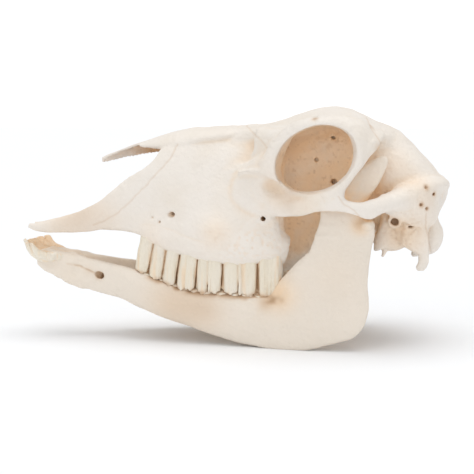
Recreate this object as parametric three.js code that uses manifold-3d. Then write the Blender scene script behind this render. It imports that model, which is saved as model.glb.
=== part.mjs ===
// Life-size sheep skull with its lower jaw, as a still museum specimen of a young hornless ewe.
// Millimetres, +Z up. The muzzle points along -X, the animal's left side faces -Y.
// Each bone is its own named mesh, parted from its neighbours by thin sutures.
import * as THREE from "three";
import { mergeVertices } from "three/addons/utils/BufferGeometryUtils.js";
import Module from "manifold-3d";

const wasm = await Module();
wasm.setup();

// Driving dimensions. Heights are above the floor that the lower jaw rests on, and
// lateral sizes are measured outwards from the midline.
const SUTURE = 0.36; // gap between neighbouring bones
const REACH = 200; // beyond every part of the skull
const SMALLEST_EDGE = 0.4; // slivers left by cutting are closed up below this
const LEFT = -1;
const RIGHT = 1;

const ORBIT = { x: 44, y: 51, z: 111.4, halfLength: 24, halfHeight: 18, tilt: 26.7, splay: 0.3 };
const RIM = { radial: 2.2, axial: 2.6 };
const EAR = { x: 92, z: 74, outer: 4.2, bore: 2.1, root: 28, mouth: 42.5 };
const CONDYLE = { x: 115, y: 16, z: 61.4, rx: 9.6, ry: 9.5, rz: 11 };
const BULLA = { x: 92, y: 24, z: 61, rx: 11, ry: 8, rz: 7.4 };
const FACIAL_TUBER = { x: -11, y: 30.5, z: 69, rx: 11, ry: 5.5, rz: 6.5 };
// The sides fall back and down from the midline, and the muzzle droops and is drawn out a little.
const SWEEP = { back: 0.087, down: 0.07, level: 42, droop: 0.014, draw: 0.00011 };
const OCCLUSAL_SLOPE = 0.3; // rise of the biting plane per millimetre towards the tongue
const OCCLUSAL_GAP = 0.5;

// Midline forms: x, top, bottom, half width
const VAULT = [
  [4, 124, 84, 13],
  [16, 127, 80, 17],
  [30, 129.9, 76, 18],
  [46, 135.4, 72, 18.5],
  [60, 137, 68, 23],
  [72, 134.3, 64, 31],
  [84, 128.9, 62, 34],
  [96, 123.9, 61, 34],
  [106, 116.2, 62, 32.5],
  [115, 107, 65, 28],
  [121.5, 99, 72, 21],
  [126.5, 91.2, 79, 12],
  [128.6, 87.2, 83, 4],
];
const FOREHEAD = [
  [0, 126, 120, 14],
  [12, 127, 119.5, 20],
  [24, 128.8, 121, 34],
  [36, 132.6, 124.5, 46.5],
  [48, 136.2, 128, 53.5],
  [58, 137.6, 129.5, 56],
  [68, 136.2, 127.5, 54],
  [76, 132.9, 123, 45],
  [84, 128.8, 118, 34],
  [91, 125.5, 114, 26],
  [97, 122, 112, 16],
];
const SKULL_BASE = [
  [40, 80, 70, 6],
  [60, 76, 65.5, 8],
  [80, 72, 58.5, 10],
  [98, 70, 54.5, 12],
  [112, 68, 53.5, 13],
  [118, 64, 55, 11],
];
// Face: x, top, bottom, half width, taper towards the top
const FACE = [
  [-86, 76, 65, 13.5, 0],
  [-78, 91, 64.6, 16, 0],
  [-68, 102, 64.2, 18.5, 0.02],
  [-58, 110.5, 62.8, 20.5, 0.08],
  [-48, 117.6, 60, 23, 0.15],
  [-37, 122.6, 56.5, 25.5, 0.22],
  [-25, 125.2, 53, 28, 0.28],
  [-12, 126.1, 50.5, 30, 0.33],
  [0, 126.4, 48.5, 31, 0.36],
  [12, 126.8, 50.5, 31.5, 0.34],
  [21, 127.2, 52, 31.5, 0.32],
  [25, 124, 55, 30, 0.3],
  [28, 118, 60, 26, 0.25],
];
// Hollows: x, top, bottom, half width
const NASAL_CAVITY = [
  [-100, 112, 71, 12],
  [-84, 112, 70.5, 12.5],
  [-66, 116, 70, 15],
  [-50, 116.5, 69, 17.5],
  [-38, 117.5, 68, 18],
  [-24, 119, 67, 16.5],
  [-8, 118, 68, 13.5],
  [2, 112, 74, 9],
];
const CHOANA = [
  [50, 74, 58, 9.5],
  [30, 74, 57, 9.5],
  [16, 72, 60, 8],
  [8, 69, 64, 5],
];

// Tubes: x, y, z, half height, half thickness
const CHEEK = [
  [-16, 23, 74, 8, 5],
  [2, 27, 84, 14, 6],
  [18, 36, 95, 17, 7],
  [30, 45, 95, 15, 5.5],
  [42, 51.5, 90, 7, 4.5],
];
const ARCH = [
  [4, 27, 84, 7, 4],
  [24, 42.5, 88, 11, 4],
  [34, 49.5, 88.5, 9.5, 4.4],
  [44, 55, 88.8, 6.6, 4],
  [54, 58, 87.2, 4.4, 3.4],
  [63, 59.2, 85.4, 3.5, 3.2],
  [71, 58.3, 83.8, 4.2, 3.4],
  [79, 55, 84.6, 4.8, 4.2],
  [88, 48.5, 86, 5.4, 6],
  [98, 40, 86.5, 7, 7],
];
const BROW = [
  [16, 22, 117, 9, 6],
  [24, 34, 117, 9, 6],
  [29, 42, 119, 7, 5],
  [36, 47.5, 127, 5.5, 5],
  [46, 51, 130, 4.5, 5],
  [58, 53, 130.5, 5, 5],
  [67, 51.5, 126.5, 7, 5],
  [72, 51, 119, 7, 4.5],
];
const CHEEK_RIM = [
  [18.5, 38.5, 108, 6, 5],
  [19.5, 40, 99, 6.5, 5],
  [24, 43.5, 92, 6.5, 4.6],
  [34, 49.5, 89, 5.5, 4.4],
  [46, 55.5, 90, 4.5, 3.8],
  [55, 58, 93, 4, 3.2],
];
const POSTORBITAL_BAR = [
  [82, 28, 121, 6, 5],
  [76, 45, 121.5, 7.5, 4],
  [69.5, 54.5, 112, 4.2, 3.2],
  [63, 58, 102, 3, 3],
  [56, 58.4, 93.5, 3.4, 3.2],
  [50, 57.5, 89, 4, 3],
];
const TEMPORAL_CREST = [
  [86, 49, 88, 3, 4],
  [97, 41, 90.5, 3.4, 5.5],
  [108, 34.5, 92.5, 3.8, 6],
  [117, 25.5, 93.2, 4, 6],
  [123.4, 13.5, 91.4, 4, 5],
  [126, -1, 89.4, 4, 3.6],
];
const MASTOID = [
  [88, 44, 85, 6, 5],
  [97, 38.5, 83, 10, 6.5],
  [107, 35, 82, 12.5, 6.5],
  [113.5, 29, 82, 12.5, 6.2],
  [117, 19, 83, 10, 5.4],
  [119, 6, 84.5, 8, 4.6],
];
const JAW_JOINT = [
  [75.5, 57, 81, 3, 4.2],
  [76.5, 48, 80, 3, 5],
  [78, 38, 79.8, 3.2, 5],
  [80, 28, 80, 4, 5],
];
const HYOID_SPUR = [
  [89, 27, 59, 1.6, 1.6],
  [88, 27.5, 54.5, 1.4, 1.4],
  [86.5, 28, 51, 0.8, 0.8],
];
const ALVEOLAR_RIDGE = [
  [-60, 17, 70, 2, 2],
  [-53, 20, 66.5, 5.5, 4],
  [-44, 23, 63.5, 7, 5.2],
  [-32, 26, 60, 8, 6],
  [-14, 29.8, 56, 8, 7],
  [4, 31.8, 54.5, 8, 7],
  [16, 32.4, 57, 8, 7],
  [24, 31.8, 57, 9, 6],
  [29.5, 30.5, 55.5, 8.5, 4.5],
];
const INCISIVE_BODY = [
  [-127, 6.5, 67.4, 1.4, 1.8],
  [-121, 8, 67, 3.7, 2.4],
  [-114, 9.5, 67.2, 4.9, 2.6],
  [-106, 11, 68, 5.5, 2.6],
  [-96, 12.6, 69.8, 6.7, 2.5],
  [-86, 14.2, 73, 7.9, 2.4],
  [-77, 15.2, 78, 8, 2],
  [-66, 16.6, 87.4, 6, 1.6],
];
const PALATINE_PROCESS = [
  [-123, 5.5, 65.2, 1.6, 2],
  [-110, 3.2, 65.6, 1.3, 2],
  [-98, 2.7, 66.2, 1.2, 1.9],
  [-88, 2.5, 67, 1.1, 1.5],
];

// Upright plates: z, x, y, half length, half thickness and, where given, toe-out
const TYMPANIC = [
  [55.2, 82.5, 29.5, 1.2, 1.4],
  [58.4, 87, 29, 5.5, 3],
  [64, 91, 29.5, 8.5, 4],
  [71, 93, 30.5, 8.5, 5],
  [80, 94, 32, 8, 5.5],
];
const JUGULAR_PROCESS = [
  [43.8, 108.5, 34, 2, 1.2],
  [46.2, 109, 34, 3.3, 1.7],
  [49.4, 110.2, 34.2, 3.1, 1.8],
  [53, 110.2, 34.2, 3.2, 2],
  [56, 107.5, 34, 5.6, 2.3],
  [60, 104.5, 33.5, 8.4, 3],
  [66, 103.5, 33, 9, 4],
  [73, 104, 31.5, 9, 5],
];
const RAMUS = [
  [-0.6, 27, 40.5, 10, 2.6, 0.19],
  [3, 29, 41.2, 24.5, 3.6, 0.19],
  [8, 34, 42.2, 33, 4, 0.18],
  [14, 39.5, 43, 33.5, 4, 0.15],
  [22, 43.6, 43.6, 32.7, 3.8, 0.11],
  [30, 48, 44, 29, 3.6, 0.08],
  [40, 53.6, 44.4, 23, 3.4, 0.05],
  [50, 57.8, 44.8, 19.4, 3.3, 0],
  [60, 60.7, 45.2, 17.7, 3.3, 0],
  [68, 62.8, 45.6, 17, 3.3, 0],
  [74.5, 62.3, 46, 14.3, 2.8, 0],
  [82, 58.5, 45.5, 10.5, 2.2, 0],
];
const CORONOID = [
  [68, 57, 45.5, 11, 2.8],
  [80, 60.5, 45, 11, 2.6],
  [88, 66.5, 44, 10.2, 2.5],
  [96, 73, 42.8, 9.2, 2.4],
  [104, 78.6, 41.2, 7.6, 2.2],
  [109, 82.6, 40, 5, 1.8],
  [111, 84.4, 39.6, 2, 1],
];
// Lengthwise plates: x, y, z, half thickness, half height
const PTERYGOID = [
  [20, 14.5, 64, 2.4, 17.5],
  [28, 14, 61.5, 2, 19.1],
  [38, 13, 62, 1.7, 19.5],
  [48, 12, 66, 1.6, 15.5],
  [56, 11.5, 70.5, 1.6, 10],
  [62, 11, 73, 1.6, 5],
];
const JAW_BODY = [
  [-122, 4.5, 47.2, 3.4, 4.3],
  [-116, 5.6, 45, 4.6, 7.3],
  [-108, 6.8, 42.7, 5.8, 8.9],
  [-99, 8, 40, 6, 10.3],
  [-90, 10.5, 37.9, 5.2, 10.1],
  [-80, 13.5, 35.8, 4.6, 10],
  [-69, 17, 33.7, 4.6, 10.1],
  [-58, 20, 29.9, 5, 10.7],
  [-46, 23, 25.6, 5.6, 10.6],
  [-34, 25.8, 21.7, 6, 10.6],
  [-18, 29.5, 18.2, 6.4, 12.2],
  [0, 33.5, 15.8, 6.6, 14.1],
  [16, 36.8, 14.6, 6.2, 14.8],
  [30, 39.6, 14, 5, 14.6],
  [44, 42, 14.5, 3.6, 12],
];
const JAW_CONDYLE = [
  [74.5, 52, 72.4, 2.4, 3],
  [75.2, 49.5, 73.2, 3, 3.9],
  [75.6, 46, 73, 3.2, 4],
  [75.6, 40, 72.4, 2.6, 3.4],
  [75.6, 37, 72, 1.6, 2.4],
];
// Nasal roof plates: x, ridge, drop of the outer edge, half width, thickness
const NASAL_REAR = [
  [-34, 124.6, 8.8, 16, 2.5],
  [-22, 126, 6.4, 17, 2.6],
  [-8, 126.7, 5.6, 16.4, 2.6],
  [4, 127.1, 5, 13, 2.6],
  [12, 127.7, 4, 6, 2.6],
];
const NASAL_TIP = {
  // The left tip is broken short, the right one is whole.
  [LEFT]: [
    [-60, 116, 0.9, 2, 1.4],
    [-54, 118.4, 3.2, 7.5, 2],
    [-45, 121.5, 6.2, 12.5, 2.3],
  ],
  [RIGHT]: [
    [-83, 108.2, 2, 1.8, 1.6],
    [-76, 111.4, 3.5, 4.4, 2],
    [-66, 115.3, 5, 7.2, 2.2],
    [-55, 118.9, 6.5, 10.5, 2.3],
    [-44, 121.9, 8, 13.8, 2.4],
  ],
};

// Cheek teeth, front to back: length along the jaw and number of lobes
const UPPER_TEETH = [
  { length: 8, lobes: 1 },
  { length: 8.1, lobes: 1 },
  { length: 8.2, lobes: 1 },
  { length: 10.6, lobes: 2 },
  { length: 15, lobes: 2 },
  { length: 21, lobes: 2 },
  { length: 14, lobes: 2 },
];
const UPPER_START = -58.6;
// x, outer edge, half width, gum line, biting edge, forward lean of the crown
const UPPER_ROW = [
  [-58, 22.8, 3.3, 62, 41.2, 6],
  [-47, 26, 4, 58.6, 37.2, 5],
  [-37, 29, 4.6, 55.2, 33.6, 4],
  [-27, 32, 5.2, 51.6, 31.7, 2.5],
  [-16, 34.6, 5.6, 49.5, 30.6, 1.2],
  [-4, 36.6, 5.9, 47.5, 30.4, 0.6],
  [10, 38, 5.9, 50, 30, 0],
  [19, 38.4, 5.4, 50.5, 29, 0],
  [26, 38, 4.6, 51, 31, 0],
];
const LOWER_TEETH = [
  { length: 5.4, lobes: 1 },
  { length: 7.2, lobes: 2 },
  { length: 8.6, lobes: 2 },
  { length: 12.8, lobes: 2 },
  { length: 17.2, lobes: 2 },
  { length: 22.6, lobes: 3 },
];
const LOWER_START = -56;
// x, middle of the row, half width
const LOWER_ROW = [
  [-56, 19.4, 2.5],
  [-40, 23, 3.1],
  [-20, 27.6, 3.8],
  [0, 31.6, 4],
  [18, 35, 3.6],
];
const LOWER_ROOT_DEPTH = 5;
const UPPER_ROOT_DEPTH = 4;

// Front teeth of one side, from the middle outwards: tip, neck and root
const INCISORS = {
  [RIGHT]: [
    { tip: [-130.6, 3.4, 59], neck: [-122, 3.4, 50], root: [-110, 3.2, 45.8], half: 3.5 },
    { tip: [-128.8, 9.2, 59.6], neck: [-119.8, 7.4, 50.4], root: [-108, 6, 46], half: 3.5 },
    { tip: [-125.2, 14.2, 58.8], neck: [-116.6, 10.6, 50.8], root: [-106, 8.2, 46.6], half: 3.2 },
    { tip: [-120, 17.6, 57], neck: [-112.6, 13, 50.8], root: [-104, 10, 47], half: 2.8 },
  ],
  // The outer two are worn to stumps on the left.
  [LEFT]: [
    { tip: [-130.6, 3.4, 58.2], neck: [-122, 3.4, 50], root: [-110, 3.2, 45.8], half: 3.5 },
    { tip: [-128.6, 9.2, 57.4], neck: [-119.8, 7.4, 50.2], root: [-108, 6, 46], half: 3.5 },
    { tip: [-121.4, 12, 54], neck: [-115.6, 10.6, 50.4], root: [-106, 8.2, 46.6], half: 2.8 },
    { tip: [-114.6, 14.4, 51.6], neck: [-111, 13, 49.6], root: [-104, 10, 47], half: 2.6 },
  ],
};

// Outlines in the lengthwise plane (x, z) where bones meet or end
const NASAL_NOTCH = [
  [-36, 118.4],
  [-46, 114.2],
  [-57.6, 105.4],
  [-66.7, 97.2],
  [-75.8, 88.4],
  [-85, 81.2],
  [-94, 77.4],
  [-94, 150],
  [-36, 150],
];
const INCISIVE_OUTLINE = [
  [-36, 117],
  [-40, 109],
  [-48.6, 99.5],
  [-60, 87.5],
  [-71, 76.8],
  [-80, 71.5],
  [-86.6, 68.8],
  [-86.6, 50],
  [-140, 50],
  [-140, 125],
  [-36, 125],
];
const ZYGOMA_OUTLINE = [
  [17, 103],
  [9, 93],
  [8, 82],
  [15, 75.5],
  [30, 72],
  [60, 72],
  [70, 78],
  [66.5, 83.5],
  [57.5, 91.5],
  [66, 97],
  [78, 107],
  [60, 115.5],
  [44, 112],
  [30, 108],
];
const ZYGOMA_DEPTH = [30, 80];
const FRONTAL_SUTURE = [
  [1, 160],
  [5, 127.5],
  [13, 121],
  [20, 114.5],
  [24, 108],
  [27, 98],
  [28.5, 85],
  [28.5, 66],
  [27.5, 30],
];

const BONE = new THREE.MeshStandardMaterial({ color: 0xe9dfcf, roughness: 0.62, metalness: 0 });
const JAW_BONE = new THREE.MeshStandardMaterial({ color: 0xe4d6c3, roughness: 0.6, metalness: 0 });

// Smooth value at t through knots (t, value) that never overshoots them.
function follow(rows, column, t) {
  const last = rows.length - 1;
  const slope = (i) => (rows[i + 1][column] - rows[i][column]) / (rows[i + 1][0] - rows[i][0]);
  const bend = (i) => {
    if (i === 0) return slope(0);
    if (i === last) return slope(last - 1);
    const before = slope(i - 1);
    const after = slope(i);
    return before * after <= 0 ? 0 : (2 * before * after) / (before + after);
  };
  let i = 0;
  while (i < last - 1 && t > rows[i + 1][0]) i += 1;
  const span = rows[i + 1][0] - rows[i][0];
  const s = THREE.MathUtils.clamp((t - rows[i][0]) / span, 0, 1);
  const s2 = s * s;
  const s3 = s2 * s;
  return (
    (2 * s3 - 3 * s2 + 1) * rows[i][column] +
    (s3 - 2 * s2 + s) * span * bend(i) +
    (3 * s2 - 2 * s3) * rows[i + 1][column] +
    (s3 - s2) * span * bend(i + 1)
  );
}

// Closed surface over rings of points with equal counts, as a solid.
function skin(rings, endless = false) {
  const sides = rings[0].length;
  const points = rings.flat();
  const index = [];
  const spans = endless ? rings.length : rings.length - 1;
  for (let r = 0; r < spans; r += 1) {
    const here = r * sides;
    const next = ((r + 1) % rings.length) * sides;
    for (let k = 0; k < sides; k += 1) {
      const m = (k + 1) % sides;
      index.push(here + k, here + m, next + m, here + k, next + m, next + k);
    }
  }
  if (!endless) {
    const far = (rings.length - 1) * sides;
    for (let k = 0; 2 * k < sides - 2; k += 1) {
      const [a, b, c, d] = [k, k + 1, sides - 2 - k, sides - 1 - k];
      index.push(a, d, b, far + a, far + b, far + d);
      if (b < c) index.push(b, d, c, far + b, far + c, far + d);
    }
  }
  return swept(new THREE.BufferGeometry().setFromPoints(points).setIndex(index));
}

// Form given on straight axes, with its sides swept back and down from the midline.
function swept(geometry) {
  const p = geometry.attributes.position;
  for (let i = 0; i < p.count; i += 1) {
    const [x, lateral, z] = [p.getX(i), Math.abs(p.getY(i)), p.getZ(i)];
    p.setX(i, x - SWEEP.draw * x * x + SWEEP.back * lateral);
    p.setZ(i, z + SWEEP.droop * x + SWEEP.down * (SWEEP.level - lateral));
  }
  return solidOf(geometry);
}

// A geometry as a solid with its faces pointing out.
function solidOf(geometry) {
  const bare = geometry.clone();
  bare.deleteAttribute("normal");
  bare.deleteAttribute("uv");
  const merged = mergeVertices(bare, 1e-4);
  const p = merged.attributes.position;
  const triVerts = new Uint32Array(merged.index.array);
  const [a, b, c] = [new THREE.Vector3(), new THREE.Vector3(), new THREE.Vector3()];
  let volume = 0;
  for (let i = 0; i < triVerts.length; i += 3) {
    a.fromBufferAttribute(p, triVerts[i]);
    b.fromBufferAttribute(p, triVerts[i + 1]);
    c.fromBufferAttribute(p, triVerts[i + 2]);
    volume += a.dot(b.cross(c));
  }
  if (volume < 0) triVerts.reverse();
  return new wasm.Manifold(
    new wasm.Mesh({ numProp: 3, vertProperties: new Float32Array(p.array), triVerts }),
  );
}

// Point at angle on a rounded box outline of half size 1 by 1.
function outline(angle, power) {
  const [c, s] = [Math.cos(angle), Math.sin(angle)];
  const round = (v) => Math.sign(v) * Math.abs(v) ** (2 / power);
  return [round(c), round(s)];
}

// Places of the rings of a form, closer together at its two ends.
function ringPlaces(rows, rings) {
  const [from, to] = [rows[0][0], rows[rows.length - 1][0]];
  return Array.from({ length: rings }, (_, r) => {
    const even = r / (rings - 1);
    const eased = (1 - Math.cos(Math.PI * even)) / 2;
    return THREE.MathUtils.lerp(from, to, 0.6 * even + 0.4 * eased);
  });
}

// Form along X from rows of x, y, z, half width, half height and taper.
function lengthwise(rows, { side = RIGHT, rings, sides, top = 2.3, base = 2.3 }) {
  return skin(
    ringPlaces(rows, rings).map((x) => {
      const [y, z, w, h] = [1, 2, 3, 4].map((column) => follow(rows, column, x));
      const taper = rows[0].length > 5 ? follow(rows, 5, x) : 0;
      return Array.from({ length: sides }, (_, k) => {
        const angle = (2 * Math.PI * k) / sides;
        const [u, v] = outline(angle, Math.sin(angle) > 0 ? top : base);
        const across = w * u * (1 - taper * v);
        return new THREE.Vector3(x, side * (y + across), z + h * v);
      });
    }),
  );
}

// Form along X that straddles the midline, from rows of x, top, bottom, half width and taper.
function midline(rows, options) {
  const centred = rows.map(([x, top, bottom, w, taper = 0]) => {
    const [z, h] = [(top + bottom) / 2, (top - bottom) / 2];
    return [x, 0, z, w, h, taper];
  });
  return lengthwise(centred, options);
}

// Form along Z from rows of z, x, y, half length and half thickness.
function upright(rows, { side, rings, sides, power = 2.4 }) {
  return skin(
    ringPlaces(rows, rings).map((z) => {
      const [x, y, rx, ry] = [1, 2, 3, 4].map((column) => follow(rows, column, z));
      const toe = rows[0].length > 5 ? follow(rows, 5, z) : 0;
      return Array.from({ length: sides }, (_, k) => {
        const [u, v] = outline((2 * Math.PI * k) / sides, power);
        return new THREE.Vector3(x + rx * u, side * (y + ry * v + toe * rx * u), z);
      });
    }),
  );
}

// Tube through rows of x, y, z, half height and half thickness. Half height lies along up.
function tube(rows, { side = RIGHT, steps, sides, up = [0, 0, 1], endless = false }) {
  const path = new THREE.CatmullRomCurve3(
    rows.map(([x, y, z]) => new THREE.Vector3(x, y, z)),
    endless,
    "centripetal",
  );
  const sizes = rows.map((row, i) => [i, row[3], row[4]]);
  if (endless) sizes.push([rows.length, rows[0][3], rows[0][4]]);
  const places = endless ? steps : steps + 1;
  return skin(
    Array.from({ length: places }, (_, r) => {
      const t = r / steps;
      const place = t * (sizes.length - 1);
      const [a, b] = [follow(sizes, 1, place), follow(sizes, 2, place)];
      const centre = path.getPoint(t);
      const along = path.getTangent(t);
      const upward = new THREE.Vector3(...up);
      const high = upward.clone().addScaledVector(along, -along.dot(upward)).normalize();
      const wide = new THREE.Vector3().crossVectors(along, high);
      return Array.from({ length: sides }, (_, k) => {
        const angle = (2 * Math.PI * k) / sides;
        const p = centre
          .clone()
          .addScaledVector(high, a * Math.sin(angle))
          .addScaledVector(wide, b * Math.cos(angle));
        p.y *= side;
        return p;
      });
    }),
    endless,
  );
}

function ellipsoid({ x, y, z, rx, ry, rz }, side, detail = 9) {
  const geometry = new THREE.SphereGeometry(1, detail, Math.ceil(detail * 0.66));
  return swept(geometry.scale(rx, ry, rz).translate(x, side * y, z));
}

// Prism over an outline in the lengthwise plane, between two distances from the midline.
function prism(outlinePoints, from, to, side = RIGHT, grow = 0) {
  const shape = new THREE.Shape(offset(outlinePoints, grow).map(([x, z]) => new THREE.Vector2(x, z)));
  const depth = to - from + 2 * grow;
  const geometry = new THREE.ExtrudeGeometry(shape, { depth, bevelEnabled: false });
  geometry.rotateX(Math.PI / 2).translate(0, to + grow, 0);
  if (side < 0) geometry.scale(1, -1, 1);
  return swept(geometry);
}

// Outline moved outwards by a distance.
function offset(points, distance) {
  const flat = points.map(([x, z]) => new THREE.Vector2(x, z));
  const outwards = THREE.ShapeUtils.isClockWise(flat) ? -1 : 1;
  return flat.map((p, i) => {
    const before = flat[(i + flat.length - 1) % flat.length];
    const after = flat[(i + 1) % flat.length];
    const into = p.clone().sub(before).normalize();
    const out = after.clone().sub(p).normalize();
    const normal = new THREE.Vector2(into.y + out.y, -into.x - out.x).normalize();
    const reach = (outwards * distance) / Math.max(0.4, normal.dot(new THREE.Vector2(into.y, -into.x)));
    return [p.x + normal.x * reach, p.y + normal.y * reach];
  });
}

// Thin wall along an open outline in the lengthwise plane, from the midline outwards.
function sutureWall(points, side) {
  const there = points.map(([x, z]) => [x - SUTURE / 2, z]);
  const back = points.map(([x, z]) => [x + SUTURE / 2, z]).reverse();
  return prism([...there, ...back], 0, REACH, side);
}

function box(low, high) {
  const size = new THREE.Vector3(...high).sub(new THREE.Vector3(...low));
  const middle = new THREE.Vector3(...high).add(new THREE.Vector3(...low)).multiplyScalar(0.5);
  return solidOf(new THREE.BoxGeometry(...size.toArray()).translate(...middle.toArray()));
}

// Everything on one side of the midline suture and above a height.
function halfSpace(side, floor) {
  const [near, far] = [SUTURE / 2, REACH];
  if (side < 0) return box([-far, -far, floor], [far, -near, far]);
  return box([-far, near, floor], [far, far, far]);
}

function union(solids) {
  return solids.reduce((whole, piece) => whole.add(piece));
}

function largest(solid) {
  return solid.decompose().sort((a, b) => b.volume() - a.volume())[0];
}

function bothSides(make) {
  return [make(LEFT), make(RIGHT)];
}

// Eye socket: the raised rim, and the hollow inside it that narrows to the middle wall.
function orbitAxis() {
  const tilt = THREE.MathUtils.degToRad(ORBIT.tilt);
  return { long: [Math.cos(tilt), Math.sin(tilt)], short: [-Math.sin(tilt), Math.cos(tilt)] };
}

function orbitRim(side) {
  const { long, short } = orbitAxis();
  const points = 12;
  const rows = Array.from({ length: points }, (_, i) => {
    const angle = (2 * Math.PI * i) / points;
    const a = (ORBIT.halfLength + RIM.radial) * Math.cos(angle);
    const b = (ORBIT.halfHeight + RIM.radial) * Math.sin(angle);
    const x = ORBIT.x + a * long[0] + b * short[0];
    const z = ORBIT.z + a * long[1] + b * short[1];
    return [x, ORBIT.y + ORBIT.splay * (x - ORBIT.x), z, RIM.axial, RIM.radial];
  });
  return tube(rows, { side, steps: 16, sides: 6, up: [0, 1, 0], endless: true });
}

function orbitHollow(side) {
  const { long } = orbitAxis();
  const share = [
    [84, 1.2, 0, 0],
    [66, 1.05, 0, 0],
    [54, 1, 0, 0],
    [44, 0.97, 0.5, -0.5],
    [34, 0.84, 2, -1.5],
    [26, 0.6, 3.5, -3],
    [20.5, 0.3, 4, -3.5],
  ];
  const rows = share.map(([y, s, dx, dz]) => [
    ORBIT.x + dx,
    y,
    ORBIT.z + dz,
    s * ORBIT.halfLength,
    s * ORBIT.halfHeight,
  ]);
  return tube(rows, { side, steps: 7, sides: 15, up: [long[0], 0, long[1]] });
}

// Nasal bone: a quarter-round roof plate from the midline to its outer edge.
function nasal(side, grow = 0) {
  const rows = [...NASAL_TIP[side], ...NASAL_REAR];
  const arcPoints = 5;
  const inner = grow > 0 ? -grow : SUTURE / 2;
  return skin(
    ringPlaces(rows, 10).map((x, r, all) => {
      const [ridge, drop, width, thickness] = [1, 2, 3, 4].map((column) => follow(rows, column, x));
      const end = r === 0 ? -grow : r === all.length - 1 ? grow : 0;
      const arc = (inset, spread) =>
        Array.from({ length: arcPoints }, (_, k) => {
          const angle = (Math.PI / 2) * (k / (arcPoints - 1));
          const wider = k === arcPoints - 1 ? grow : spread;
          const y = k === 0 ? inner : (width - inset * 0.75) * Math.sin(angle) + wider;
          const deeper = k === arcPoints - 1 && spread < 0 ? grow : 0;
          const z = ridge - drop * (1 - Math.cos(angle)) - inset - deeper;
          return new THREE.Vector3(x + end, side * y, z);
        });
      return [...arc(-grow, grow), ...arc(thickness + grow, -grow).reverse()];
    }),
  );
}

// Gum line, outer edge and biting surface of the upper row at x.
const upperAt = (column, x) => follow(UPPER_ROW, column, x);
const lowerAt = (column, x) => follow(LOWER_ROW, column, x);
const bite = (x, y) => upperAt(4, x) + OCCLUSAL_SLOPE * (upperAt(1, x) - y);

// One lobe of a cheek tooth: a column from its root to its slanted biting face.
function lobe(side, x, y, halfLength, halfWidth, rootZ, edge, lean) {
  const sides = 6;
  const levels = 3;
  return skin(
    Array.from({ length: levels }, (_, r) => {
      const t = r / (levels - 1);
      const swell = 1 + 0.08 * Math.sin(Math.PI * t);
      return Array.from({ length: sides }, (_, k) => {
        const [u, v] = outline((2 * Math.PI * (k + 0.5)) / sides, 2.6);
        const px = x + halfLength * swell * u - lean * t;
        const py = y + halfWidth * swell * v;
        return new THREE.Vector3(px, side * py, THREE.MathUtils.lerp(rootZ, edge(px, py), t));
      });
    }),
  );
}

function cheekTeeth(side, teeth, start, placeLobe) {
  const lobes = [];
  let from = start;
  for (const { length, lobes: count } of teeth) {
    for (let i = 0; i < count; i += 1) {
      const x = from + (length * (i + 0.5)) / count;
      lobes.push(placeLobe(side, x, (length / count) * 0.5));
    }
    from += length;
  }
  return lobes;
}

function upperLobe(side, x, halfLength) {
  const halfWidth = upperAt(2, x);
  const y = upperAt(1, x) - halfWidth;
  const lean = upperAt(5, x);
  const edge = (px, py) => bite(px, py) + OCCLUSAL_GAP / 2;
  const rootZ = upperAt(3, x) + UPPER_ROOT_DEPTH;
  return lobe(side, x + lean / 2, y, halfLength * 1.04, halfWidth, rootZ, edge, lean);
}

function lowerLobe(side, x, halfLength) {
  const jawTop = follow(JAW_BODY, 2, x) + follow(JAW_BODY, 4, x);
  const edge = (px, py) => bite(px, py) - OCCLUSAL_GAP / 2;
  const rootZ = jawTop - LOWER_ROOT_DEPTH;
  return lobe(side, x, lowerAt(1, x), halfLength * 1.04, lowerAt(2, x), rootZ, edge, 0);
}

function incisor(side, { tip, neck, root, half }) {
  const rows = [
    [...root, half * 0.6, 1.8],
    [...neck, half * 0.75, 2],
    [...neck.map((v, i) => v * 0.42 + tip[i] * 0.58 - (i === 2 ? 2.2 : 0)), half, 2],
    [...tip, half * 0.95, 0.7],
  ];
  const across = [0.35 * (tip[1] / 12), 1, 0];
  return tube(rows, { side, steps: 4, sides: 7, up: across });
}

function mandible(side) {
  const bone = union([
    lengthwise(JAW_BODY, { side, rings: 14, sides: 10, top: 2.6, base: 2.4 }),
    upright(RAMUS, { side, rings: 12, sides: 10, power: 3 }),
    upright(CORONOID, { side, rings: 7, sides: 8, power: 2.4 }),
    tube(JAW_CONDYLE, { side, steps: 5, sides: 7 }),
    ...cheekTeeth(side, LOWER_TEETH, LOWER_START, lowerLobe),
    ...INCISORS[side].map((tooth) => incisor(side, tooth)),
  ]);
  return largest(bone.intersect(halfSpace(side, 0)));
}

// Face bones before they are parted: the hollow muzzle with its tooth rows.
function faceShell() {
  const forms = [
    midline(FACE, { rings: 14, sides: 16, top: 2.6, base: 7 }),
    ...bothSides((side) => tube(ALVEOLAR_RIDGE, { side, steps: 9, sides: 8 })),
    ...bothSides((side) => tube(CHEEK, { side, steps: 5, sides: 8 })),
    ...bothSides((side) => ellipsoid(FACIAL_TUBER, side)),
  ];
  return union(forms)
    .subtract(midline(NASAL_CAVITY, { rings: 9, sides: 12, top: 3, base: 3 }))
    .subtract(union(bothSides((side) => prism(NASAL_NOTCH, 0, 40, side))));
}

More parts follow.
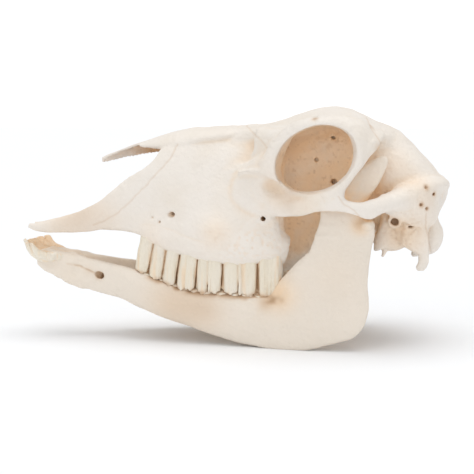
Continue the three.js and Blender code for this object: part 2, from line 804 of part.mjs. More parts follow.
function braincase() {
  const paired = bothSides((side) =>
    union([
      orbitRim(side),
      tube(POSTORBITAL_BAR, { side, steps: 7, sides: 7, up: [1, 0, 0] }),
      tube(ARCH, { side, steps: 11, sides: 7 }),
      tube(BROW, { side, steps: 8, sides: 6 }),
      tube(CHEEK_RIM, { side, steps: 5, sides: 6 }),
      tube(TEMPORAL_CREST, { side, steps: 7, sides: 6 }),
      tube(MASTOID, { side, steps: 5, sides: 7 }),
      tube(JAW_JOINT, { side, steps: 4, sides: 7 }),
      tube(HYOID_SPUR, { side, steps: 2, sides: 5, up: [1, 0, 0] }),
      upright(TYMPANIC, { side, rings: 6, sides: 8 }),
      upright(JUGULAR_PROCESS, { side, rings: 8, sides: 7 }),
      lengthwise(PTERYGOID, { side, rings: 6, sides: 8, top: 4, base: 3 }),
      ellipsoid(CONDYLE, side),
      ellipsoid(BULLA, side, 8),
      earTube(side, EAR.outer, EAR.root, EAR.mouth),
    ]),
  );
  return union([
    midline(VAULT, { rings: 12, sides: 15 }),
    midline(FOREHEAD, { rings: 10, sides: 13, top: 2.5, base: 2.5 }),
    midline(SKULL_BASE, { rings: 6, sides: 10 }),
    ...paired,
  ]);
}

function earTube(side, radius, from, to) {
  const rows = [
    [EAR.x, from, EAR.z, radius, radius],
    [EAR.x, to, EAR.z, radius, radius],
  ];
  return tube(rows, { side, steps: 1, sides: 9 });
}

function foramenMagnum() {
  const rows = [
    [136, 0, 66.5, 8.5, 9.5],
    [117, 0, 68.5, 8.5, 9.5],
    [105, 0, 74, 8, 9],
    [94, 0, 82, 5, 6],
  ];
  return tube(rows, { steps: 4, sides: 11 });
}

// Whole upper skull, then parted into its named bones along the sutures.
const nasalBeds = union(bothSides((side) => nasal(side, 1.5 * SUTURE)));
const face = faceShell().subtract(nasalBeds);
const incisives = bothSides((side) => {
  const forms = union([
    face,
    tube(INCISIVE_BODY, { side, steps: 9, sides: 9 }),
    tube(PALATINE_PROCESS, { side, steps: 5, sides: 8 }),
  ]);
  return largest(forms.intersect(prism(INCISIVE_OUTLINE, SUTURE / 2, 40, side)));
});
const hollows = union([
  ...bothSides(orbitHollow),
  ...bothSides((side) => earTube(side, EAR.bore, EAR.mouth - 8, EAR.mouth + 4)),
  foramenMagnum(),
  midline(CHOANA, { rings: 5, sides: 10, top: 3, base: 3 }),
  nasalBeds,
]);
const skull = face
  .subtract(union(bothSides((side) => prism(INCISIVE_OUTLINE, 0, 40, side, SUTURE))))
  .add(braincase())
  .subtract(hollows);
const zygomas = bothSides((side) => {
  return largest(skull.intersect(prism(ZYGOMA_OUTLINE, ...ZYGOMA_DEPTH, side)));
});
const rest = skull
  .subtract(union(bothSides((side) => prism(ZYGOMA_OUTLINE, ...ZYGOMA_DEPTH, side, SUTURE))))
  .subtract(union(bothSides((side) => sutureWall(FRONTAL_SUTURE, side))));
const blocks = rest.decompose().sort((a, b) => b.volume() - a.volume());
const cranium = blocks.find((block) => block.boundingBox().max[0] > EAR.x);
const muzzle = blocks.find((block) => block.boundingBox().min[0] < UPPER_START);
const maxillas = bothSides((side) => {
  const half = muzzle.intersect(halfSpace(side, 0));
  return largest(union([half, ...cheekTeeth(side, UPPER_TEETH, UPPER_START, upperLobe)]));
});

function mesh(name, solid, material) {
  const { vertProperties, triVerts } = largest(solid.simplify(SMALLEST_EDGE)).getMesh();
  const geometry = new THREE.BufferGeometry()
    .setAttribute("position", new THREE.BufferAttribute(vertProperties, 3))
    .setIndex(new THREE.BufferAttribute(triVerts, 1));
  geometry.computeVertexNormals();
  const made = new THREE.Mesh(geometry, material);
  made.name = name;
  return made;
}

// All bones about one origin on the floor, below the middle of the skull.
const group = new THREE.Group();
group.add(mesh("braincase", cranium, BONE));
["left", "right"].forEach((name, i) => {
  const side = [LEFT, RIGHT][i];
  group.add(mesh(`maxilla_${name}`, maxillas[i], BONE));
  group.add(mesh(`incisive_${name}`, incisives[i], BONE));
  group.add(mesh(`nasal_${name}`, nasal(side), BONE));
  group.add(mesh(`zygomatic_${name}`, zygomas[i], BONE));
  group.add(mesh(`mandible_${name}`, mandible(side), JAW_BONE));
});

const extent = new THREE.Box3().setFromObject(group);
const centre = extent.getCenter(new THREE.Vector3());
group.position.set(-centre.x, -centre.y, -extent.min.z);

export default group;
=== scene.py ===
# Sheep skull with its lower jaw, shown as a museum specimen on a pale studio floor.
import math

import bpy
import numpy as np
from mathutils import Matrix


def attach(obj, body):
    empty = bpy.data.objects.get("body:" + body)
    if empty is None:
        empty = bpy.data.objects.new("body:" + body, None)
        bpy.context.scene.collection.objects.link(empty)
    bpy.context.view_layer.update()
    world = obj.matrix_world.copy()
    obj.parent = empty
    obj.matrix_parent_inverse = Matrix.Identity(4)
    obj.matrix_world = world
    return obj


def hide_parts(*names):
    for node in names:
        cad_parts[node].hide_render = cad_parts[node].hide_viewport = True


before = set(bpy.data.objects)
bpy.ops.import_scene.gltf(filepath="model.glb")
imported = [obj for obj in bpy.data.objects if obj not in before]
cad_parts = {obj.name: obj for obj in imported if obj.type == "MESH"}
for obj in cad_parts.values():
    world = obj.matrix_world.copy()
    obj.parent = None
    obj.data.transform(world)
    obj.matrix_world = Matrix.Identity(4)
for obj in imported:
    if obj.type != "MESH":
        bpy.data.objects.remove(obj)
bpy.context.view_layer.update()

import openvdb
from mathutils import Vector

# Sizes in millimetres, as in the part: muzzle along -X, lateral sizes outwards from the midline
MM = 0.001
ORIGIN_SHIFT = 2.456
SUTURE = 0.36
LEFT, RIGHT = -1, 1
SWEEP_BACK, SWEEP_DOWN, SWEEP_LEVEL, SWEEP_DROOP, SWEEP_DRAW = 0.087, 0.07, 42, 0.014, 0.00011
MIDLINE_ROUNDING = 3

# Grids on which bone and finer parts are modelled: pitches, and cells kept on either side of a surface
BONE_PITCH, FINE_PITCH, BAND = 0.6, 0.4, 14
# Coarse grid that tells how open a place is: its pitch, and the reach and number of looks around
OPEN_PITCH, OPEN_REACH, OPEN_WAYS = 2.4, 80, 48
# Fine creases and broad dips: cells over which they are found, and the depth that counts as full
CREASE_CELLS, CREASE_DEPTH = 3, 1.2
DIP_CELLS, DIP_DEPTH = 8, 5.0

# Eye socket: middle, half sizes, tilt and splay of its mouth, and half sizes of its rim
ORBIT_X, ORBIT_Y, ORBIT_Z = 44, 51, 111.4
ORBIT_HALF_LENGTH, ORBIT_HALF_HEIGHT = 24, 18
ORBIT_TILT, ORBIT_SPLAY = math.radians(26.7), 0.3
RIM_RADIAL, RIM_AXIAL = 2.2, 2.6
# Sections of the eye socket inwards: y, share of the mouth's size, and shifts along X and Z
ORBIT_SECTIONS = [
    (84, 1.2, 0, 0), (66, 1.05, 0, 0), (54, 1, 0, 0), (44, 0.97, 0.5, -0.5), (34, 0.84, 2, -1.5),
    (26, 0.6, 3.5, -3), (20.5, 0.3, 4, -3.5),
]
# Ear tube: place, outer and bore radius, and lateral places between which tube and bore run
EAR_X, EAR_Z, EAR_OUTER, EAR_BORE = 92, 74, 4.2, 2.1
EAR_TUBE_SPAN, EAR_BORE_SPAN = (28, 42.5), (37.5, 46.5)
# Biting plane of the cheek teeth: rise towards the tongue, and gap between upper and lower teeth
OCCLUSAL_SLOPE, OCCLUSAL_GAP = 0.3, 0.5

# Midline forms: x, top, bottom, half width and, for the face, taper towards the top
VAULT = [
    [4, 124, 84, 13], [16, 127, 80, 17], [30, 129.9, 76, 18], [46, 135.4, 72, 18.5], [60, 137, 68, 23],
    [72, 134.3, 64, 31], [84, 128.9, 62, 34], [96, 123.9, 61, 34], [106, 116.2, 62, 32.5],
    [115, 107, 65, 28], [121.5, 99, 72, 21], [126.5, 91.2, 79, 12], [128.6, 87.2, 83, 4],
]
FOREHEAD = [
    [0, 126, 120, 14], [12, 127, 119.5, 20], [24, 128.8, 121, 34], [36, 132.6, 124.5, 46.5],
    [48, 136.2, 128, 53.5], [58, 137.6, 129.5, 56], [68, 136.2, 127.5, 54], [76, 132.9, 123, 45],
    [84, 128.8, 118, 34], [91, 125.5, 114, 26], [97, 122, 112, 16],
]
SKULL_BASE = [
    [40, 80, 70, 6], [60, 76, 65.5, 8], [80, 72, 58.5, 10], [98, 70, 54.5, 12], [112, 68, 53.5, 13],
    [118, 64, 55, 11],
]
FACE = [
    [-86, 76, 65, 13.5, 0], [-78, 91, 64.6, 16, 0], [-68, 102, 64.2, 18.5, 0.02],
    [-58, 110.5, 62.8, 20.5, 0.08], [-48, 117.6, 60, 23, 0.15], [-37, 122.6, 56.5, 25.5, 0.22],
    [-25, 125.2, 53, 28, 0.28], [-12, 126.1, 50.5, 30, 0.33], [0, 126.4, 48.5, 31, 0.36],
    [12, 126.8, 50.5, 31.5, 0.34], [21, 127.2, 52, 31.5, 0.32], [25, 124, 55, 30, 0.3],
    [28, 118, 60, 26, 0.25],
]
NASAL_CAVITY = [
    [-100, 112, 71, 12], [-84, 112, 70.5, 12.5], [-66, 116, 70, 15], [-50, 116.5, 69, 17.5],
    [-38, 117.5, 68, 18], [-24, 119, 67, 16.5], [-8, 118, 68, 13.5], [2, 112, 74, 9],
]
CHOANA = [[8, 69, 64, 5], [16, 72, 60, 8], [30, 74, 57, 9.5], [50, 74, 58, 9.5]]

# Tubes: x, y, z, half height, half thickness
CHEEK = [
    [-16, 23, 74, 8, 5], [2, 27, 84, 14, 6], [18, 36, 95, 17, 7], [30, 45, 95, 15, 5.5],
    [42, 51.5, 90, 7, 4.5],
]
ARCH = [
    [4, 27, 84, 7, 4], [24, 42.5, 88, 11, 4], [34, 49.5, 88.5, 9.5, 4.4], [44, 55, 88.8, 6.6, 4],
    [54, 58, 87.2, 4.4, 3.4], [63, 59.2, 85.4, 3.5, 3.2], [71, 58.3, 83.8, 4.2, 3.4],
    [79, 55, 84.6, 4.8, 4.2], [88, 48.5, 86, 5.4, 6], [98, 40, 86.5, 7, 7],
]
BROW = [
    [16, 22, 117, 9, 6], [24, 34, 117, 9, 6], [29, 42, 119, 7, 5], [36, 47.5, 127, 5.5, 5],
    [46, 51, 130, 4.5, 5], [58, 53, 130.5, 5, 5], [67, 51.5, 126.5, 7, 5], [72, 51, 119, 7, 4.5],
]
CHEEK_RIM = [
    [18.5, 38.5, 108, 6, 5], [19.5, 40, 99, 6.5, 5], [24, 43.5, 92, 6.5, 4.6], [34, 49.5, 89, 5.5, 4.4],
    [46, 55.5, 90, 4.5, 3.8], [55, 58, 93, 4, 3.2],
]
POSTORBITAL_BAR = [
    [82, 28, 121, 6, 5], [76, 45, 121.5, 7.5, 4], [69.5, 54.5, 112, 4.2, 3.2],
    [63, 58, 102, 3, 3], [56, 58.4, 93.5, 3.4, 3.2], [50, 57.5, 89, 4, 3],
]
TEMPORAL_CREST = [
    [86, 49, 88, 3, 4], [97, 41, 90.5, 3.4, 5.5], [108, 34.5, 92.5, 3.8, 6], [117, 25.5, 93.2, 4, 6],
    [123.4, 13.5, 91.4, 4, 5], [126, -1, 89.4, 4, 3.6],
]
MASTOID = [
    [88, 44, 85, 6, 5], [97, 38.5, 83, 10, 6.5], [107, 35, 82, 12.5, 6.5], [113.5, 29, 82, 12.5, 6.2],
    [117, 19, 83, 10, 5.4], [119, 6, 84.5, 8, 4.6],
]
JAW_JOINT = [[75.5, 57, 81, 3, 4.2], [76.5, 48, 80, 3, 5], [78, 38, 79.8, 3.2, 5], [80, 28, 80, 4, 5]]
HYOID_SPUR = [[89, 27, 59, 1.6, 1.6], [88, 27.5, 54.5, 1.4, 1.4], [86.5, 28, 51, 0.8, 0.8]]
ALVEOLAR_RIDGE = [
    [-60, 17, 70, 2, 2], [-53, 20, 66.5, 5.5, 4], [-44, 23, 63.5, 7, 5.2], [-32, 26, 60, 8, 6],
    [-14, 29.8, 56, 8, 7], [4, 31.8, 54.5, 8, 7], [16, 32.4, 57, 8, 7], [24, 31.8, 57, 9, 6],
    [29.5, 30.5, 55.5, 8.5, 4.5],
]
INCISIVE_BODY = [
    [-127, 6.5, 67.2, 1.4, 1.8], [-121, 8, 66.3, 2.7, 2.4], [-114, 9.5, 66.7, 3.7, 2.6],
    [-106, 11, 68, 4.7, 2.6], [-96, 12.6, 70, 6.3, 2.5], [-86, 14.2, 73, 7.8, 2.4],
    [-77, 15.2, 78, 8, 2], [-66, 16.6, 87.4, 6, 1.6],
]
PALATINE_PROCESS = [
    [-123, 5.5, 65.2, 1.6, 2], [-110, 3.2, 65.6, 1.3, 2], [-98, 2.7, 66.2, 1.2, 1.9],
    [-88, 2.5, 67, 1.1, 1.5],
]
FORAMEN_MAGNUM = [
    [136, 0, 66.5, 8.5, 9.5], [117, 0, 68.5, 8.5, 9.5], [105, 0, 74, 8, 9], [94, 0, 82, 5, 6],
]
JAW_CONDYLE = [
    [74.5, 52, 72.4, 2.4, 3], [75.2, 49.5, 73.2, 3, 3.9], [75.6, 46, 73, 3.2, 4],
    [75.6, 40, 72.4, 2.6, 3.4], [75.6, 37, 72, 1.6, 2.4],
]
LACRIMAL_RIDGE = [
    [1, 29.6, 101.6, 1, 2.2], [4.7, 31.8, 102.6, 1.3, 2.6], [11.7, 38, 103.4, 1.5, 3],
    [16.8, 42.6, 102.8, 1.5, 3.2], [22, 45.8, 100.4, 1.5, 2.8], [26, 47, 97.6, 1.4, 2.2],
]
RETROMOLAR_RIDGE = [
    [14, 37.5, 21, 4, 3], [22, 38.5, 25.5, 4.5, 3.4], [29, 39.2, 35, 5, 3.2], [36.5, 42.5, 46.5, 4.2, 3],
    [42, 44.5, 53.5, 3.2, 2.6],
]

# Upright plates: z, x, y, half length, half thickness and, where given, toe-out
TYMPANIC = [
    [55.2, 82.5, 29.5, 1.2, 1.4], [58.4, 87, 29, 5.5, 3], [64, 91, 29.5, 8.5, 4],
    [71, 93, 30.5, 8.5, 5], [80, 94, 32, 8, 5.5],
]
JUGULAR_PROCESS = [
    [43.8, 108.5, 34, 2, 1.2], [46.2, 109, 34, 3.3, 1.7], [49.4, 110.2, 34.2, 3.1, 1.8],
    [53, 110.2, 34.2, 3.2, 2], [56, 107.5, 34, 5.6, 2.3], [60, 104.5, 33.5, 8.4, 3],
    [66, 103.5, 33, 9, 4], [73, 104, 31.5, 9, 5],
]
RAMUS = [
    [-0.6, 27, 40.5, 10, 2.6, 0.19], [3, 29, 41.2, 24.5, 3.6, 0.19], [8, 34, 42.2, 33, 4, 0.18],
    [14, 39.5, 43, 33.5, 4, 0.15], [22, 43.6, 43.6, 32.7, 3.8, 0.11], [30, 48, 44, 29, 3.6, 0.08],
    [40, 53.6, 44.4, 23, 3.4, 0.05], [50, 57.8, 44.8, 19.4, 3.3, 0], [60, 60.7, 45.2, 17.7, 3.3, 0],
    [68, 62.8, 45.6, 17, 3.3, 0], [74.5, 62.3, 46, 14.3, 2.8, 0], [82, 58.5, 45.5, 10.5, 2.2, 0],
]
CORONOID = [
    [68, 57, 45.5, 11, 2.8], [80, 60.5, 45, 11, 2.6], [88, 66.5, 44, 10.2, 2.5], [96, 73, 42.8, 9.2, 2.4],
    [104, 78.6, 41.2, 7.6, 2.2], [109, 82.6, 40, 5, 1.8], [111, 84.4, 39.6, 2, 1],
]
# Lengthwise plates: x, y, z, half thickness, half height
PTERYGOID = [
    [20, 14.5, 64, 2.4, 17.5], [28, 14, 60.6, 2, 20.2], [38, 13, 62, 1.7, 19.5],
    [48, 12, 66, 1.6, 15.5], [56, 11.5, 70.5, 1.6, 10], [62, 11, 73, 1.6, 5],
]
JAW_BODY = [
    [-122, 4.5, 47.2, 3.4, 4.3], [-116, 5.6, 45, 4.6, 7.3], [-108, 6.8, 42.7, 5.8, 8.9],
    [-99, 8, 40, 6, 10.3], [-90, 10.5, 37.9, 5.2, 10.1], [-80, 13.5, 35.8, 4.6, 10],
    [-69, 17, 33.7, 4.6, 10.1], [-58, 20, 29.9, 5, 10.7], [-46, 23, 25.6, 5.6, 10.6],
    [-34, 25.8, 21.7, 6, 10.6], [-18, 29.5, 18.2, 6.4, 12.2], [0, 33.5, 15.8, 6.6, 14.1],
    [16, 36.8, 14.6, 6.2, 14.8], [30, 39.6, 14, 5, 14.6], [44, 42, 14.5, 3.6, 12],
]
# Nasal roof plates: x, ridge, drop of the outer edge, half width, thickness
NASAL_REAR = [
    [-34, 124.6, 8.8, 16, 2.5], [-22, 126, 6.4, 17, 2.6], [-8, 126.7, 5.6, 16.4, 2.6],
    [4, 127.1, 5, 13, 2.6], [12, 127.7, 4, 6, 2.6],
]
NASAL_TIP = {
    LEFT: [[-60, 116, 0.9, 2, 1.4], [-54, 118.4, 3.2, 7.5, 2], [-45, 121.5, 6.2, 12.5, 2.3]],
    RIGHT: [
        [-83, 108.2, 2, 1.8, 1.6], [-76, 111.4, 3.5, 4.4, 2], [-66, 115.3, 5, 7.2, 2.2],
        [-55, 118.9, 6.5, 10.5, 2.3], [-44, 121.9, 8, 13.8, 2.4],
    ],
}
NASAL_NOTCH = [
    [-36, 118.4], [-46, 114.2], [-57.6, 105.4], [-66.7, 97.2], [-75.8, 88.4], [-85, 81.2], [-94, 77.4],
    [-94, 150], [-36, 150],
]

# Rounded lumps and shallow hollows: x, y, z and their half sizes
LACRIMAL_FOSSA = [([18.5, 51, 95], [12, 10.5, 6.4]), ([29, 60, 91], [11, 10.5, 5.5])]
RETROMOLAR_HOLLOW = ([20, 48, 33.5], [11, 9.6, 8])
OCCIPITAL_CONDYLE = ([115, 16, 61.4], [9.6, 9.5, 11])
BULLA = ([92, 24, 61], [11, 8, 7.4])
# Gentle swells and dips of the surface: place, reach and height
SKULL_RELIEF = [
    ([-13, 36, 68.5], 8, 3.2), ([-20, 33, 70], 8, 1.4), ([-28, 24, 102], 13, -1.0), ([2, 30, 96], 11, -1.6),
    ([27, 49.5, 90], 5.5, -1.4), ([18, 36, 72], 10, -1.2), ([104, 36, 104], 12, 0.8), ([34, 56, 84], 6, 1),
]
JAW_RELIEF = [
    ([58, 48, 38], 17, -1.6), ([66, 48, 14], 8, 1.4), ([40, 46, 6], 9, 1.0), ([30, 45, 34], 7, 0.9),
    ([20, 42, 26], 6, -1.0), ([-84, 17, 40], 7, -0.8),
]
# Places where the bone is tinted warmer, partly real staining and partly painted shade in hollows and under
# overhangs: place, reach and share
SKULL_WARMTH_AND_SHADE = [
    ([-104, 12, 70], 16, 0.18), ([-80, 14, 76], 12, 0.12), ([22, 46, 91], 9, 0.22), ([-50, 22, 64], 9, 0.2),
    ([98, 30, 66], 13, 0.7), ([90, 34, 104], 14, 0.28), ([104, 38, 84], 8, 0.15), ([76, 48, 110], 8, 0.12),
    ([22, 36, 108], 7, 0.7), ([-13, 36, 66], 9, 0.3), ([106, 38, 95], 9, 0.25), ([40, 56, 88], 9, 0.2),
    ([92, 40, 74], 5, 0.5),
]
JAW_WARMTH_AND_SHADE = [
    ([-40, 30, 24], 14, 0.2), ([-20, 34, 20], 13, 0.15), ([25, 41, 32], 10, 0.8), ([56, 48, 44], 16, 0.1),
    ([80, 42, 92], 14, 0.2), ([-104, 12, 34], 14, 0.1), ([71, 48.5, 73], 5, 0.7),
]
# Places where the bone is darker, from broad tones to single dark spots: partly real stains and partly
# painted shade in hollows, pits, holes and under the teeth
SKULL_STAINS_AND_SHADE = [
    ([-95, 14, 72], 17, 0.15), ([30, 52, 88], 8, 0.1), ([44.5, 52.8, 134], 1.8, 0.6),
    ([77.6, 41, 128], 2.2, 0.25), ([79, 51, 118], 2.4, 0.2), ([110, 39.5, 93], 1.7, 0.6),
    ([115, 34.2, 88.7], 1.6, 0.7), ([107, 41.2, 83.5], 1.6, 0.65), ([110.5, 39.4, 81], 1.3, 0.6),
    ([112, 37, 86], 6, 0.1),
    ([92, 39.5, 74], 2.8, 0.8), ([21, 46, 94.5], 9, 0.07), ([29, 51, 91], 7, 0.08),
]
JAW_STAINS_AND_SHADE = [
    ([-34, 29, 25], 17, 0.18), ([-18, 35, 22], 10, 0.12), ([17, 40, 25.5], 4, 0.45), ([24, 41, 29], 6, 0.14),
    ([-90, 16, 40.6], 3, 0.1), ([-83.5, 15.5, 37.8], 2.4, 0.55), ([71, 48.5, 73.5], 4, 0.3),
]
# Small pits of the nape: place and half sizes
NUCHAL_PITS = [
    ([110, 39.8, 93], [1.4, 1.8, 0.9]), ([115, 34.6, 88.7], [1, 2, 0.8]),
    ([107, 41.4, 83.5], [1.2, 1.6, 0.8]), ([110.5, 39.8, 81.1], [0.9, 1.6, 0.8]),
]
# Small canals through the bone: mouth, far end and half sizes along Z and X
CANALS = [
    ([-41.5, 29, 75.8], [-33, 20, 78], 2.0, 2.4), ([-47.4, 27, 71.5], [-42, 20, 73], 1.1, 1.0),
    ([-51.4, 25, 74], [-48, 20, 75], 0.7, 0.7), ([14.7, 38, 74.9], [18, 28, 76], 0.6, 0.6),
    ([44, 50, 140], [44, 44, 128], 1.0, 2.4), ([56.7, 22, 120.6], [58, 16, 120], 1.2, 1.7),
    ([46.1, 22, 107.7], [48, 16, 107], 1.2, 1.2), ([56.8, 24, 94.8], [59, 17, 94], 2, 2.4),
    ([24.8, 25, 108.5], [16, 20, 108], 1.3, 1.2), ([103, 40, 70], [100, 32, 71], 1.3, 1.6),
]

MENTAL_CANAL = ([-85.5, 19, 39], [-77, 9, 35.6], 1.4, 2.3)

# Zones of pitted bone in the lengthwise plane: x, z and reach along both
PITTED_GUMS = (8, 60, 22, 9)
PITTED_EAR = (98, 68, 12, 10)
# Unevenness of dry bone and of worn enamel: width, height and seed of each grain
BONE_GRAIN = ((22, 0.55, 11), (9, 0.3, 12), (5, 0.12, 13), (2.2, 0.07, 14))
ENAMEL_GRAIN = ((1.4, 0.36, 21), (0.8, 0.14, 22))
ENAMEL_SWELL = (3, 0.2, 23)

# Cheek teeth, front to back: length along the jaw and number of lobes
UPPER_TEETH = [(8, 1), (8.1, 1), (8.2, 1), (10.6, 2), (15, 2), (21, 2), (14, 2)]
UPPER_START = -58.6
# x, outer edge, half width, gum line, biting edge, forward lean of the crown
UPPER_ROW = [
    [-58, 22.8, 3.3, 62, 41.2, 6], [-47, 26, 4, 58.6, 37.2, 5], [-37, 29, 4.6, 55.2, 33.6, 4],
    [-27, 32, 5.2, 51.6, 31.7, 2.5], [-16, 34.6, 5.6, 49.5, 30.6, 1.2],
    [-4, 36.6, 5.9, 47.5, 30.4, 0.6], [10, 38, 5.9, 50, 30, 0], [19, 38.4, 5.4, 50.5, 29, 0],
    [26, 38, 4.6, 51, 31, 0],
]
LOWER_TEETH = [(5.4, 1), (7.2, 2), (8.6, 2), (12.8, 2), (17.2, 2), (22.6, 3)]
LOWER_START = -56
LOWER_ROW = [[-56, 19.4, 2.5], [-40, 23, 3.1], [-20, 27.6, 3.8], [0, 31.6, 4], [18, 35, 3.6]]
UPPER_ROOT_DEPTH, LOWER_ROOT_DEPTH = 9, 5
ROOT_SETBACK, ROOT_CURVE = 3, 0.35
LOBE_SWELL = 0.08
TOOTH_INSET = 0.8
# Chance in the upper lobes: shift along the jaw, and least and most wear of the biting edge
LOBE_SHIFT, LEAST_WEAR, MOST_WEAR = 0.25, -0.9, 0.5
# Crown of a front tooth: place of its bulge between neck and tip, and sag of the bulge
CROWN_BULGE, CROWN_SAG = 0.58, 2.2
# Front tooth from root to tip: share of the half width, and half thickness
FRONT_TOOTH = [(0.6, 1.8), (0.85, 2.6), (1, 2), (0.95, 0.8)]
# Front teeth of one side, from the middle outwards: tip, neck, root and half width
INCISORS = {
    RIGHT: [
        ([-129.4, 3.4, 57.4], [-121.5, 3.6, 48.2], [-110, 3.2, 44.8], 3.5),
        ([-127.8, 9.2, 57.8], [-119.6, 7.6, 49.4], [-108, 6, 45.4], 3.5),
        ([-126, 14.2, 58.6], [-116.6, 10.6, 50.8], [-106, 8.2, 46.6], 3.2),
        ([-122.6, 17.4, 59.2], [-113.4, 13, 50.8], [-104, 10, 47], 2.8),
    ],
    LEFT: [
        ([-130.6, 3.4, 58.2], [-121.5, 3.6, 47.6], [-110, 3.2, 44.5], 3.5),
        ([-128.8, 8.6, 57.6], [-119.4, 7.6, 47.6], [-108, 6, 44.8], 3.7),
        ([-125, 13, 57], [-116.4, 10.6, 48.8], [-106, 8.2, 45.6], 3.5),
        ([-114.6, 14.4, 51.6], [-111, 13, 49.6], [-104, 10, 47], 2.6),
    ],
}

# Sutures as lines in the lengthwise plane (x, z), each with the range of lateral distance it crosses
SUTURES = [
    ([[-36, 117], [-40, 109], [-48.6, 99.5], [-60, 87.5], [-71, 76.8], [-80, 71.5], [-86.6, 68.8]], 0, 40),
    ([[57.5, 91.5], [61, 87], [66.5, 83.5], [70, 78]], 50, 80),
    ([[1, 140], [5, 127.5], [13, 121], [20, 114.5]], 0, 40),
    ([[76.2, 134], [77.5, 128], [79.3, 124.9], [84, 118]], 18, 60),
    ([[110.7, 78], [111, 70], [113, 62], [116, 53]], 20, 60),
]

SEAM_WIDTH, GROOVE_WIDTH = 0.5, 0.6
# Groove that leads forward from the canal at the front of the jaw (x, z)
MENTAL_GROOVE = [[-103, 44.6], [-95.3, 43.4], [-90.3, 41.2], [-86, 39.2]]

# Colours as seen on the bone
IVORY = (0.88, 0.82, 0.75, 1)
WARM_BONE = (0.82, 0.735, 0.63, 1)
# Tan of painted shade in hollows, also the first step of stains
SHADE_TAN = (0.96, 0.70, 0.45, 1)
# Pale tan of painted shade in fine creases
CREASE_SHADE_TAN = (0.88, 0.73, 0.57, 1)
BROWN = (0.24, 0.105, 0.035, 1)
# Painted shade: a darker, warmer copy of the ivory for the lower jaw, which sits lower in more shade
JAW_SHADED_IVORY = (0.86, 0.775, 0.675, 1)
ENAMEL = (0.85, 0.775, 0.635, 1)
# Share of shelter at which painted shade begins to tint the bone tan, and at which it is full
SHELTERED = (0.3, 0.85)
# Grain of the bone's patches and of its bumps, per metre, and detail of both
PATCH_GRAIN, BUMP_GRAIN, GRAIN_DETAIL = 45, 350, 10
BUMP_STRENGTH, BUMP_HEIGHT = 0.8, 0.001

# Studio: floor, light from all round, backdrop, and lamps as direction, spread in degrees and strength
FLOOR_HALF = 6.0
PAPER = (0.955, 0.97, 0.99, 1)
AMBIENT, BACKDROP = 0.6, 1.1
KEY_LAMP = ((0.1, 0.05, 1.0), 55, 1.2)
FILL_LAMP = ((-0.3, -1.0, 0.55), 100, 0.55)
# Camera of the photograph, in metres, with its lens and sensor in millimetres
CAMERA_PLACE = (0.07177, -0.79259, 0.14475)
CAMERA_AIM = (0.00243, 0, 0.06113)
CAMERA_LENS, CAMERA_SENSOR, CAMERA_REACH = 98.96, 36, 50


def follow(rows, column, places):
    """Smooth values at places through the rows' first column that never overshoot the rows."""
    table = np.array([row[: column + 1] for row in rows], float)
    at, value = table[:, 0], table[:, column]
    span = np.diff(at)
    slope = np.diff(value) / span
    bend = np.concatenate([slope[:1], np.zeros(len(at) - 2), slope[-1:]])
    same = slope[:-1] * slope[1:] > 0
    total = np.where(same, slope[:-1] + slope[1:], 1)
    bend[1:-1] = np.where(same, 2 * slope[:-1] * slope[1:] / total, 0)
    i = np.clip(np.searchsorted(at, places, side="right") - 1, 0, len(at) - 2)
    s = np.clip((places - at[i]) / span[i], 0, 1)
    return (
        (2 * s**3 - 3 * s**2 + 1) * value[i]
        + (s**3 - 2 * s**2 + s) * span[i] * bend[i]
        + (3 * s**2 - 2 * s**3) * value[i + 1]
        + (s**3 - s**2) * span[i] * bend[i + 1]
    )


def skin(rings, endless=False):
    """Closed surface over an array of rings: its points, triangles and quads."""
    count, sides, _ = rings.shape
    points = rings.reshape(-1, 3)
    here = np.arange(count if endless else count - 1)[:, None] * sides
    following = (here + sides) % (count * sides)
    k = np.arange(sides)
    m = (k + 1) % sides
    quads = np.stack([here + k, here + m, following + m, following + k], axis=-1).reshape(-1, 4)
    if endless:
        return points, np.zeros((0, 3), int), quads
    ends = np.stack([rings[0].mean(axis=0), rings[-1].mean(axis=0)])
    first = np.stack([np.full(sides, len(points)), m, k], axis=-1)
    last_ring = (count - 1) * sides
    last = np.stack([np.full(sides, len(points) + 1), last_ring + k, last_ring + m], axis=-1)
    return np.vstack([points, ends]), np.vstack([first, last]), quads


def rounded(sides, top, base):
    """Points round a superellipse of half size 1 by 1."""
    angle = 2 * np.pi * np.arange(sides) / sides
    power = np.where(np.sin(angle) > 0, top, base)
    c, s = np.cos(angle), np.sin(angle)
    return np.sign(c) * np.abs(c) ** (2 / power), np.sign(s) * np.abs(s) ** (2 / power)


def lengthwise(rows, top=2.3, base=2.3, rings=80, sides=48):
    """Form along X from rows of x, y, z, half width, half height and taper."""
    x = np.linspace(rows[0][0], rows[-1][0], rings)
    y, z, w, h = (follow(rows, column, x)[:, None] for column in (1, 2, 3, 4))
    taper = follow(rows, 5, x)[:, None] if len(rows[0]) > 5 else 0
    u, v = rounded(sides, top, base)
    across = w * u * (1 - taper * v)
    return skin(np.stack([np.broadcast_to(x[:, None], across.shape), y + across, z + h * v], axis=-1))


def midline(rows, top=2.3, base=2.3):
    """Form along X that straddles the midline, from rows of x, top, bottom, half width and taper."""
    centred = [[r[0], 0, (r[1] + r[2]) / 2, r[3], (r[1] - r[2]) / 2, (r + [0])[4]] for r in rows]
    return lengthwise(centred, top, base)


def upright(rows, power=2.4, rings=60, sides=48):
    """Form along Z from rows of z, x, y, half length and half thickness."""
    z = np.linspace(rows[0][0], rows[-1][0], rings)
    x, y, rx, ry = (follow(rows, column, z)[:, None] for column in (1, 2, 3, 4))
    toe = follow(rows, 5, z)[:, None] if len(rows[0]) > 5 else 0
    u, v = rounded(sides, power, power)
    across = y + ry * v + toe * rx * u
    return skin(np.stack([x + rx * u, across, np.broadcast_to(z[:, None], across.shape)], axis=-1))


